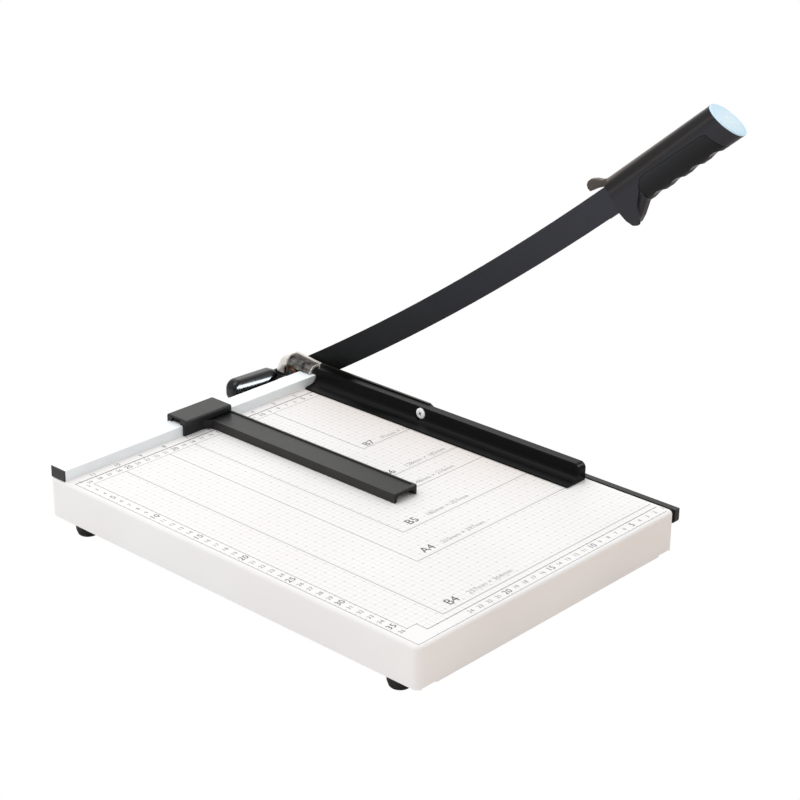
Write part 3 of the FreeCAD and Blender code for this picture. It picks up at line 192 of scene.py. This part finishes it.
def surface(tree, shader, color, fine, rough, relief=None, specular=0.5):
    """Colour, roughness between two limits by a fine noise, and relief: strength and height."""
    feed(tree, shader.inputs["Base Color"], color)
    feed(tree, shader.inputs["Roughness"], spread(tree, fine, *rough))
    feed(tree, shader.inputs["Specular IOR Level"], specular)
    if relief:
        bump = tree.nodes.new("ShaderNodeBump")
        bump.inputs["Strength"].default_value = relief[0]
        bump.inputs["Distance"].default_value = relief[1]
        tree.links.new(fine, bump.inputs["Height"])
        tree.links.new(bump.outputs["Normal"], shader.inputs["Normal"])


# ---------------------------------------------------------------- materials
def plain_finish(name, color, rough, metal=0.0, grain=900.0, tint=0.06, bump=0.02, specular=0.5):
    """A moulded, painted or plated finish, a little uneven in colour, gloss and relief."""
    made, tree, shader = new_material(name)
    dark = tuple(channel * (1 - tint) for channel in color[:3]) + (1.0,)
    light = tuple(min(1.0, channel * (1 + tint)) for channel in color[:3]) + (1.0,)
    shade = mottled(tree, grain * 0.05, dark, light, 2.0)
    fine = noise(tree, grain, 4.0)
    surface(tree, shader, shade, fine, (rough - 0.05, rough + 0.05), (bump, 0.4 * MM), specular)
    shader.inputs["Metallic"].default_value = metal
    return made


def board_finish():
    """White enamel with a faint grid on its upper face, and a painted warm shade beside the
    guard.
    """
    made, tree, shader = new_material("board_enamel")
    x, y, z = axes_of(tree, place_on(tree))
    left = math_node(tree, "SUBTRACT", CUT_X, x)
    down = math_node(tree, "SUBTRACT", RAIL_Y, y)

    def every(value, step, width):
        """1 on a line of this width at every step."""
        return below(tree, math_node(tree, "PINGPONG", value, step / 2), width / 2)

    def dashed(across, along):
        return product(tree, every(across, GRID_STEP, GRID_LINE), every(along, DASH_STEP, DASH))

    def between(value, low, high):
        return product(tree, above(tree, value, low * MM), below(tree, value, high * MM))

    dots = product(tree, every(left, MARK_STEP, MARK), every(down, MARK_STEP, MARK), 0.85)
    lines = product(tree, math_node(tree, "MAXIMUM", dashed(left, down), dashed(down, left)), 0.6)
    marks = math_node(tree, "MAXIMUM", lines, dots)
    window = product(tree, between(left, RIGHT_END - 0.5, INNER_LEFT),
                     between(down, PAPERS_BACK, INNER_FRONT - 0.1))
    corner = product(tree, above(tree, left, (BOX_LEFT - 0.1) * MM),
                     above(tree, down, (BOX_FRONT - 0.1) * MM))
    upper = above(tree, z, BOARD_TOP - 0.05 * MM)
    ink = product(tree, marks, window, math_node(tree, "SUBTRACT", 1.0, corner), upper, 0.82)

    # Painted warm shade on the board beside the guard, fading away from it and towards the front.
    guard_shade_across = ramp(tree, left, 95 * MM, 30 * MM, 0.0, 0.6)
    guard_shade_along = ramp(tree, down, 310 * MM, 240 * MM)
    enamel = mottled(tree, 9.0, rgb(239, 237, 236), rgb(243, 242, 241))
    enamel = mix(tree, product(tree, guard_shade_across, guard_shade_along, upper), enamel, rgb(238, 228, 221))
    surface(tree, shader, mix(tree, ink, enamel, rgb(132, 130, 132)), noise(tree, 1400.0),
            (0.5, 0.58), (0.03, 0.2 * MM), 0.16)
    return made


def blade_finish():
    """Dark painted steel with fine lengthwise grain, and a painted reflection: darker low down,
    lighter towards the handle.
    """
    made, tree, shader = new_material("blade_paint")
    height = axes_of(tree, place_on(tree))[2]
    grain = noise(tree, 260.0, 4.0, (1, 0.3, 1))
    # Painted reflection: the blade darker low down and lighter towards the handle.
    shade = mix(tree, ramp(tree, height, 0.06, 0.27), rgb(15, 16, 16), rgb(53, 54, 61))
    shade = mix(tree, spread(tree, grain, 0.0, 0.1), shade, rgb(60, 62, 66))
    surface(tree, shader, shade, grain, (0.42, 0.52), specular=0.12)
    return made


def carrier_finish():
    """Satin nickel, with painted shade between the hood's grooves, and black low at the back of
    the hood: partly the lever's dipped coat, partly painted shade.
    """
    made, tree, shader = new_material("satin_nickel")
    x, y, z = axes_of(tree, place_on(tree))
    hood_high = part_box("presser_carrier")[1]
    # Painted shade between the hood's grooves, a little uneven, which also dulls their metal and
    # gloss.
    behind_front = ramp(tree, y, HOOD_FRONT + 0.2 * MM, HOOD_FRONT + 1.2 * MM)
    before_back = ramp(tree, y, hood_high.y - 17.5 * MM, hood_high.y - 20 * MM)
    inside_rim = ramp(tree, x, hood_high.x - 5.5 * MM, hood_high.x - 7.5 * MM)
    cloud = spread(tree, noise(tree, 160.0), 0.75, 1.0)
    groove_shade = product(tree, behind_front, before_back, inside_rim, cloud)
    # The bar in front of the hood is darker.
    bar = below(tree, y, HOOD_FRONT - 1.5 * MM)
    # Black low at the back of the hood: partly the lever's dipped coat, partly painted shade
    # under the hood.
    dipped = product(tree, ramp(tree, z, BOARD_TOP + 2.2 * MM, BOARD_TOP + 1.2 * MM),
                     above(tree, y, HOOD_FRONT + 30 * MM))

    shade = mottled(tree, 60.0, rgb(228, 223, 216), rgb(234, 230, 224))
    shade = mix(tree, bar, shade, rgb(40, 37, 33))
    shade = mix(tree, groove_shade, shade, rgb(25, 21, 18))
    shade = mix(tree, dipped, shade, rgb(16, 16, 18))
    metal = math_node(tree, "SUBTRACT", 0.5, product(tree, groove_shade, 0.46))
    metal = product(tree, metal, math_node(tree, "SUBTRACT", 1.0, dipped))
    shine = math_node(tree, "SUBTRACT", 0.5, product(tree, groove_shade, 0.4))
    tree.links.new(metal, shader.inputs["Metallic"])
    surface(tree, shader, shade, noise(tree, 700.0, 4.0, (1, 0.2, 1)), (0.3, 0.4),
            (0.04, 0.3 * MM), shine)
    return made


def stop_finish():
    """Dark satin moulding, with painted shade on the arm's front end and painted shadow on the
    head below its top.
    """
    made, tree, shader = new_material("stop_moulding")
    y, z = axes_of(tree, place_on(tree))[1:]
    stop_low, stop_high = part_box("paper_stop")
    # Painted shade on the arm's front end, and painted shadow under the head's top.
    front_end_shade = below(tree, y, stop_low.y + 0.3 * MM)
    head_shadow = product(tree, above(tree, y, RAIL_Y - 9 * MM),
                         below(tree, z, stop_high.z - 3.2 * MM))
    shade = mottled(tree, 75.0, rgb(43, 42, 41), rgb(47, 46, 45))
    shade = mix(tree, front_end_shade, shade, rgb(12, 11, 11))
    shade = mix(tree, head_shadow, shade, rgb(34, 35, 38))
    surface(tree, shader, shade, noise(tree, 1500.0, 4.0), (0.31, 0.41), (0.05, 0.4 * MM), 0.2)
    return made


def sleeve_finish():
    """Glossy dipped vinyl, whose front swells softly between its edges."""
    made, tree, shader = new_material("dipped_vinyl")
    x, _, z = axes_of(tree, place_on(tree))
    normal = tree.nodes.new("ShaderNodeNewGeometry").outputs["Normal"]
    on_front = ramp(tree, axes_of(tree, normal)[1], -0.55, -0.8)
    height = math_node(tree, "ADD", z, product(tree, x, 0.092))
    lean = ramp(tree, height, BOARD_TOP + 7.6 * MM, BOARD_TOP + 14.6 * MM, 0.61, 0.82)
    swell = tree.nodes.new("ShaderNodeCombineXYZ")
    swell.inputs[1].default_value = -1.0
    tree.links.new(lean, swell.inputs[2])
    bent = vector_node(tree, "NORMALIZE", mix(tree, on_front, normal, swell.outputs[0], "VECTOR"))
    tree.links.new(bent, shader.inputs["Normal"])
    surface(tree, shader, mottled(tree, 60.0, rgb(10, 10, 13), rgb(14, 14, 17)),
            noise(tree, 300.0), (0.08, 0.11), specular=0.36)
    return made


# Painted highlights and shade in lengthwise bands: colours by the distance in millimetres below
# the top of the handle, and of its insert.
HANDLE_LIGHT_BANDS = ((0.0, (84, 76, 70)), (0.9, (58, 54, 52)), (2.4, (27, 26, 27)),
                (7.0, (34, 32, 32)), (9.0, (54, 51, 50)), (11.0, (40, 40, 43)),
                (16.0, (46, 47, 52)), (60.0, (46, 47, 52)))
INSERT_LIGHT_BANDS = ((0.0, (40, 42, 46)), (5.0, (30, 31, 34)), (12.0, (22, 22, 24)),
                (22.0, (12, 12, 13)))
HANDLE_UP = Vector((0.0, 0.657, 0.754))


def grip_finish(name, edge_node, light_bands):
    """Fine satin moulding with painted highlights and shade in soft lengthwise bands, measured
    from the edge node's top.
    """
    made, tree, shader = new_material(name)
    top = max(HANDLE_UP.dot(vertex.co) for vertex in nodes[edge_node].data.vertices)
    reach = vector_node(tree, "DOT_PRODUCT", place_on(tree), HANDLE_UP)
    depth = math_node(tree, "SUBTRACT", top, reach)
    shade = rgb(*light_bands[0][1])
    for (start, _), (end, color) in zip(light_bands, light_bands[1:]):
        shade = mix(tree, ramp(tree, depth, start * MM, end * MM), shade, rgb(*color))
    fine = noise(tree, 1600.0, 4.0)
    shade = mix(tree, spread(tree, fine, 0.0, 0.04), shade, rgb(70, 70, 74))
    surface(tree, shader, shade, fine, (0.27, 0.35), (0.05, 0.4 * MM), 0.16)
    return made


def cap_finish():
    """Painted reflection: glossy pale blue, lighter towards the middle of the cap, standing in
    for the bright surroundings reflected in the handle's end.
    """
    made, tree, shader = new_material("pale_cap_reflection")
    cap_low, cap_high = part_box("handle_end_cap")
    away = vector_node(tree, "DISTANCE", place_on(tree), (cap_low + cap_high) / 2)
    # Painted reflection: pale blue, lighter towards the middle.
    shade = mix(tree, ramp(tree, away, 4 * MM, 16 * MM), rgb(222, 244, 255), rgb(203, 235, 255))
    surface(tree, shader, shade, noise(tree, 400.0), (0.16, 0.24))
    return made


MATERIALS = {
    "board": board_finish(),
    "blade": blade_finish(),
    "zinc_sheet": plain_finish("zinc_sheet", rgb(176, 176, 174), 0.42, 1.0, 500),
    "rubber": plain_finish("foot_rubber", rgb(37, 37, 37), 0.75, grain=700, bump=0.15,
                           specular=0.3),
    "zinc": plain_finish("bright_zinc", rgb(214, 216, 218), 0.24, 1.0),
    "rail": plain_finish("rail_enamel", rgb(246, 252, 255), 0.42, grain=1200, tint=0.01,
                         specular=0.4),
    "black": plain_finish("black_moulding", rgb(5, 5, 6), 0.33, grain=1500, tint=0.08, bump=0.05,
                          specular=0.09),
    "cap": plain_finish("rail_cap_moulding", rgb(56, 56, 58), 0.4, grain=1500, tint=0.08,
                        bump=0.05, specular=0.15),
    # Painted reflection: the guard screw's bright metal head is drawn as plain bluish white.
    "screw_face": plain_finish("screw_face", rgb(250, 252, 255), 0.4, tint=0.02),
    "ledger": plain_finish("ledger_paint", rgb(33, 32, 31), 0.4, tint=0.08, specular=0.18),
    "brass": plain_finish("brass", rgb(150, 108, 80), 0.38, 1.0, 700),
    # The pivot bush: bronze, darkened by painted shade inside the hood's opening.
    "bush": plain_finish("bronze_bush_shaded", rgb(66, 50, 40), 0.4, 1.0, 700),
    "spring": plain_finish("spring_steel", rgb(120, 118, 114), 0.35, 1.0),
    "handle": grip_finish("handle_moulding", "handle_end_cap", HANDLE_LIGHT_BANDS),
    "grip": grip_finish("grip_moulding", "grip_insert", INSERT_LIGHT_BANDS),
    "pale": cap_finish(),
    "nickel": carrier_finish(),
    "dipped": sleeve_finish(),
    "stop": stop_finish(),
    "print": plain_finish("print_ink", rgb(104, 104, 108), 0.5, grain=1500, tint=0.08),
    "print_dark": plain_finish("print_ink_dark", rgb(58, 58, 62), 0.5, grain=1500, tint=0.08),
    "print_light": plain_finish("print_ink_light", rgb(150, 150, 152), 0.5, grain=1500,
                                tint=0.05),
}
LOOKS = {
    "base_pan": "board", "board_ribs": "zinc_sheet", "rubber_feet": "rubber",
    "foot_screws": "zinc", "guide_rail": "rail", "rail_end_cap": "cap", "rail_screws": "zinc",
    "fixed_blade": "ledger", "fixed_blade_screws": "zinc", "pivot_plate": "ledger",
    "pivot_plate_screws": "zinc", "pivot_bush": "bush", "pivot_nut": "brass",
    "disc_spring": "spring", "pivot_washer": "zinc_sheet", "pivot_bolt": "zinc",
    "presser_spring": "spring", "cutting_blade": "blade", "handle_body": "handle",
    "grip_insert": "grip", "handle_end_cap": "pale", "handle_screws": "zinc",
    "presser_guard": "black", "presser_carrier": "nickel", "lever_sleeve": "dipped",
    "guard_screw": "screw_face", "guard_nut": "zinc", "paper_stop": "stop",
    "stop_leaf_spring": "spring", "stop_roller": "black",
}


def dress(obj, look):
    """Give an object one of the materials, and no other."""
    obj.data.materials.clear()
    obj.data.materials.append(MATERIALS[look])


for node_name, look in LOOKS.items():
    dress(nodes[node_name], look)


# ---------------------------------------------------------------- piece helpers
def new_object(name, data):
    """An object with this data, in the scene."""
    made = bpy.data.objects.new(name, data)
    bpy.context.scene.collection.objects.link(made)
    return made


def new_piece(name, mesh, look, body="base"):
    """A dressed piece that moves with a body."""
    piece = new_object(name, mesh)
    dress(piece, look)
    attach(piece, body)
    return piece


def mesh_of(build, name):
    """The finished mesh of a build."""
    mesh = bpy.data.meshes.new(name)
    build.to_mesh(mesh)
    build.free()
    return mesh


# ---------------------------------------------------------------- print on the board
PRINT_Z = BOARD_TOP + 0.04 * MM
INCH = 25.4
CENTIMETRE = 10
TICK_STEP = 5
TICK_WIDTH = 0.25
INNER_TICK = 0.7
FRAME_WIDTH = 0.45
PAPER_WIDTH = 0.5
SCALE_WIDTH = 0.8
FRONT_WIDTH = 0.55
BACK_WIDTH = 0.35


def board_point(left, down):
    """A place on the board: millimetres left of the cutting edge and forward of the rail."""
    return Vector((CUT_X - left * MM, RAIL_Y - down * MM, PRINT_Z))


def line_piece(name, lines, look):
    """Flat strips from (left, down) to (left, down), each with its own width in millimetres."""
    build = bmesh.new()
    for first, second, width in lines:
        a = board_point(*first)
        b = board_point(*second)
        side = (b - a).normalized().cross(Vector((0, 0, 1))) * width * MM / 2
        corners = (a - side, b - side, b + side, a + side)
        build.faces.new([build.verts.new(corner) for corner in corners])
    bmesh.ops.recalc_face_normals(build, faces=build.faces)
    for face in build.faces:
        if face.normal.z < 0:
            face.normal_flip()
    return new_piece(name, mesh_of(build, name), look)


PAPERS = {"B4": (257, 364), "A4": (210, 297), "B5": (182, 257), "A5": (148, 210),
          "B6": (128, 182), "B7": (91, 128)}
frame_lines = [
    ((FRAME_LEFT, SCALE_BACK), (FRAME_LEFT, FRAME_FRONT), FRAME_WIDTH),
    ((FRAME_LEFT, FRAME_FRONT), (RIGHT_END, FRAME_FRONT), FRAME_WIDTH),
    ((INNER_LEFT, PAPERS_BACK), (INNER_LEFT, BOX_FRONT), FRAME_WIDTH),
    ((INNER_LEFT, BOX_FRONT), (BOX_LEFT, BOX_FRONT), FRAME_WIDTH),
    ((BOX_LEFT, BOX_FRONT), (BOX_LEFT, INNER_FRONT), FRAME_WIDTH),
    ((BOX_LEFT, INNER_FRONT), (RIGHT_END, INNER_FRONT), FRONT_WIDTH),
    ((INNER_LEFT, PAPERS_BACK), (GUARD_EDGE, PAPERS_BACK), BACK_WIDTH),
]
for wide, long in PAPERS.values():
    frame_lines.append(((wide, PAPERS_BACK), (wide, long), PAPER_WIDTH))
    frame_lines.append(((wide, long), (RIGHT_END, long), PAPER_WIDTH))
line_piece("print_frame_lines", frame_lines, "print")
line_piece("print_scale_line",
           [((FRAME_LEFT, SCALE_BACK), (GUARD_EDGE, SCALE_BACK), SCALE_WIDTH)], "print_dark")

ticks = []


def add_tick(left, down, left_reach, down_reach):
    """A tick that starts at left, down and reaches on from there."""
    ticks.append(((left, down), (left + left_reach, down + down_reach), TICK_WIDTH))


def tick_places(first, last, step, long, short):
    """Each tick's place on its scale and its length, where every second one is long."""
    for count in range(first, last + 1):
        yield count * step, long if count % 2 == 0 else short


for place, length in tick_places(4, 72, TICK_STEP, 1.8, 1.0):
    add_tick(FRAME_LEFT, place, -length, 0)
    add_tick(INNER_LEFT, place, length * INNER_TICK, 0)
for place, length in tick_places(3, 56, TICK_STEP, 1.8, 1.0):
    add_tick(place, FRAME_FRONT, 0, -length)
    if place < BOX_LEFT - 1:  # clear of the corner box
        add_tick(place, INNER_FRONT, 0, length * INNER_TICK)
for place, length in tick_places(7, 59, TICK_STEP, 2.0, 1.1):
    add_tick(place, SCALE_BACK, 0, length)
for place, length in tick_places(3, 23, INCH / 2, 2.2, 1.2):
    add_tick(place, SCALE_BACK, 0, -length)
line_piece("print_ticks", ticks, "print")


def text_mesh(words, size, bold):
    """The outline of a word as a flat mesh centred on its origin."""
    curve = bpy.data.curves.new("words", "FONT")
    curve.body = words
    curve.size = size * MM
    curve.align_x = "CENTER"
    curve.align_y = "CENTER"
    curve.offset = 0.012 * MM if bold else 0.0
    curve.resolution_u = 3
    holder = new_object("words", curve)
    bpy.context.view_layer.update()
    mesh = bpy.data.meshes.new_from_object(holder)
    bpy.data.objects.remove(holder)
    bpy.data.curves.remove(curve)
    return mesh


def words_piece(name, entries, look):
    """Several words as one piece; each entry is a word's text, left, down, size, whether it is
    bold, and whether it starts at left rather than having its middle there."""
    build = bmesh.new()
    for words, left, down, size, bold, from_start in entries:
        mesh = text_mesh(words, size, bold)
        shift = board_point(left, down)
        if from_start:
            shift.x -= min(vertex.co.x for vertex in mesh.vertices)
        mesh.transform(Matrix.Translation(shift))
        build.from_mesh(mesh)
        bpy.data.meshes.remove(mesh)
    return new_piece(name, mesh_of(build, name), look)


# The rows of numbers: left of the board, at its front, along the rail, and the inches there.
NUMBERS_LEFT = 295.4
NUMBERS_FRONT = 375.6
NUMBERS_BACK = 15.3
INCHES_BACK = 5.3

plain = []
strong = []


def add_number(number, left, down, strong_size, plain_size):
    """A number of a scale, where every fifth one is bold."""
    if number % 5 == 0:
        strong.append((str(number), left, down, strong_size, True, False))
    else:
        plain.append((str(number), left, down, plain_size, False, False))


for number in range(1, 37):
    add_number(number, NUMBERS_LEFT, number * CENTIMETRE, 8.0, 5.4)
for number in range(1, 25):
    add_number(number, number * CENTIMETRE, NUMBERS_FRONT, 7.8, 5.4)
for number in range(4, 30):
    add_number(number, number * CENTIMETRE, NUMBERS_BACK, 6.9, 5.2)
for number in range(2, 12):
    plain.append((str(number), number * INCH, INCHES_BACK, 6.0, False, False))
words_piece("print_numbers", plain, "print")
words_piece("print_bold_numbers", strong, "print_dark")

# Each paper's words, in millimetres from the corner of its outline: the name's start, middle and
# height, then the measures' start and middle.
LARGE_PAPER = (14, 8.5, 11.4, 36, 7.5)
WORD_PLACES = {"B4": LARGE_PAPER, "A4": LARGE_PAPER, "B5": LARGE_PAPER,
               "A5": (13, 6.2, 10.4, 36.5, 5.8), "B6": (13, 6.2, 10.4, 37, 5.8),
               "B7": (7, 4.8, 10.4, 27.2, 4.5)}
names = []
measures = []
for label, (wide, long) in PAPERS.items():
    name_start, name_middle, height, start, middle = WORD_PLACES[label]
    names.append((label, wide - name_start, long - name_middle, height, True, True))
    measures.append((f"{wide}mm × {long}mm", wide - start, long - middle, 6.8, False, True))
words_piece("print_paper_names", names, "print_dark")
words_piece("print_paper_sizes", measures, "print_light")


# ---------------------------------------------------------------- screw recess, painted shade
def cross_recess(name, centre, normal, size, body, turn):
    """Painted shade in a screw head's cross recess: two thin dark crossed plates just proud of
    the head.
    """
    build = bmesh.new()
    aim = normal.to_track_quat("Z", "Y").to_matrix().to_4x4()
    bar = Matrix.Diagonal((size, size * 0.24, 0.05 * MM, 1))
    for angle in (turn, turn + math.pi / 2):
        place = Matrix.Translation(centre) @ aim @ Matrix.Rotation(angle, 4, "Z") @ bar
        bmesh.ops.create_cube(build, size=1.0, matrix=place)
    return new_piece(name, mesh_of(build, name), "black", body)


screw_low, screw_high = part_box("guard_screw")
screw_face = (screw_low + screw_high) / 2
screw_face.x = screw_low.x - 0.02 * MM
cross_recess("guard_screw_recess_shade", screw_face, normal=Vector((-1, 0, 0)), size=3.6 * MM,
             body="presser", turn=0.5)


# ---------------------------------------------------------------- surroundings
def join_output(tree, kind, lighting, seen):
    """The seen shader for the camera's own rays, and the lighting one for all others."""
    mixer = tree.nodes.new("ShaderNodeMixShader")
    path = tree.nodes.new("ShaderNodeLightPath")
    tree.links.new(path.outputs["Is Camera Ray"], mixer.inputs[0])
    tree.links.new(lighting.outputs[0], mixer.inputs[1])
    tree.links.new(seen.outputs[0], mixer.inputs[2])
    tree.links.new(mixer.outputs[0], tree.nodes.new(kind).inputs["Surface"])


def white_glow(tree, kind):
    """Plain white light from an emission or background shader."""
    glow = tree.nodes.new(kind)
    glow.inputs["Color"].default_value = (1, 1, 1, 1)
    glow.inputs["Strength"].default_value = 1.0
    return glow


def floor_finish():
    """Pale floor, warmer in front, that the camera sees as the white backdrop."""
    made = bpy.data.materials.new("floor_white")
    made.use_nodes = True
    tree = made.node_tree
    tree.nodes.clear()
    x, y, _ = axes_of(tree, place_on(tree))
    matt = tree.nodes.new("ShaderNodeBsdfDiffuse")
    front = mix(tree, ramp(tree, x, -0.2, 0.15), (0.95, 0.87, 0.82, 1), (0.80, 0.68, 0.60, 1))
    shade = mix(tree, ramp(tree, y, -0.15, -0.3), (0.90, 0.90, 0.90, 1), front)
    tree.links.new(shade, matt.inputs["Color"])
    join_output(tree, "ShaderNodeOutputMaterial", matt, white_glow(tree, "ShaderNodeEmission"))
    return made


floor_build = bmesh.new()
bmesh.ops.create_grid(floor_build, x_segments=1, y_segments=1, size=3.0)
floor = new_object("floor", mesh_of(floor_build, "floor"))
floor.data.materials.append(floor_finish())


PANEL_DIRECTION = (0.68, 0.62, 0.39)


def world_finish():
    """Soft surroundings: white overhead, warmer in front, a bright panel behind the part."""
    world = bpy.data.worlds.new("studio")
    bpy.context.scene.world = world
    world.use_nodes = True
    tree = world.node_tree
    tree.nodes.clear()
    toward = place_on(tree, "Generated")
    _, y, z = axes_of(tree, toward)
    side = mix(tree, ramp(tree, y, -0.2, -0.9), (0.84, 0.85, 0.87, 1), (0.60, 0.50, 0.43, 1))
    sky = mix(tree, ramp(tree, z, 0.0, 0.8), side, (1.0, 1.0, 1.0, 1))
    panel = ramp(tree, vector_node(tree, "DOT_PRODUCT", toward, PANEL_DIRECTION), 0.7, 0.95)
    light = tree.nodes.new("ShaderNodeBackground")
    tree.links.new(mix(tree, panel, sky, (1.75, 1.75, 1.75, 1)), light.inputs["Color"])
    light.inputs["Strength"].default_value = 0.85
    join_output(tree, "ShaderNodeOutputWorld", light, white_glow(tree, "ShaderNodeBackground"))


world_finish()


def area_light(name, spot, aim, size, power, color=(1, 1, 1)):
    """A rectangular studio light at a place, turned towards another."""
    data = bpy.data.lights.new(name, "AREA")
    data.shape = "RECTANGLE"
    data.size, data.size_y = size
    data.energy = power
    data.color = color
    lamp = new_object(name, data)
    lamp.location = spot
    lamp.rotation_euler = (Vector(aim) - Vector(spot)).to_track_quat("-Z", "Y").to_euler()
    return lamp


area_light("key", spot=(-0.5, 0.6, 1.6), aim=(0, 0, 0.05), size=(1.2, 1.2), power=9.5)
# The strip shows in glossy surfaces only, and makes the long highlight on the lever's sleeve.
strip = area_light("strip", spot=(1.35, -0.85, 1.02), aim=(0.1, 0.2, 0.05), size=(1.0, 0.13),
                   power=17, color=(0.84, 0.93, 1.0))
strip.visible_diffuse = False

# ---------------------------------------------------------------- camera
# Its lens, axes and place were solved from the printed lines in the photo.
camera_data = bpy.data.cameras.new("camera")
camera_data.sensor_width = 36.0
camera_data.lens = 90.297
camera_data.clip_end = 20.0
camera = new_object("camera", camera_data)
right = Vector((0.67784164, -0.73513766, 0.01016494))
up = Vector((0.27957205, 0.27052048, 0.92122643))
back = Vector((-0.67997807, -0.62160380, 0.38889399))
pose = Matrix((right, up, back)).transposed().to_4x4()
pose.translation = Vector((-1.042397, -0.997288, 0.735351))
camera.matrix_world = pose
scene = bpy.context.scene
scene.camera = camera
scene.view_settings.view_transform = "Standard"
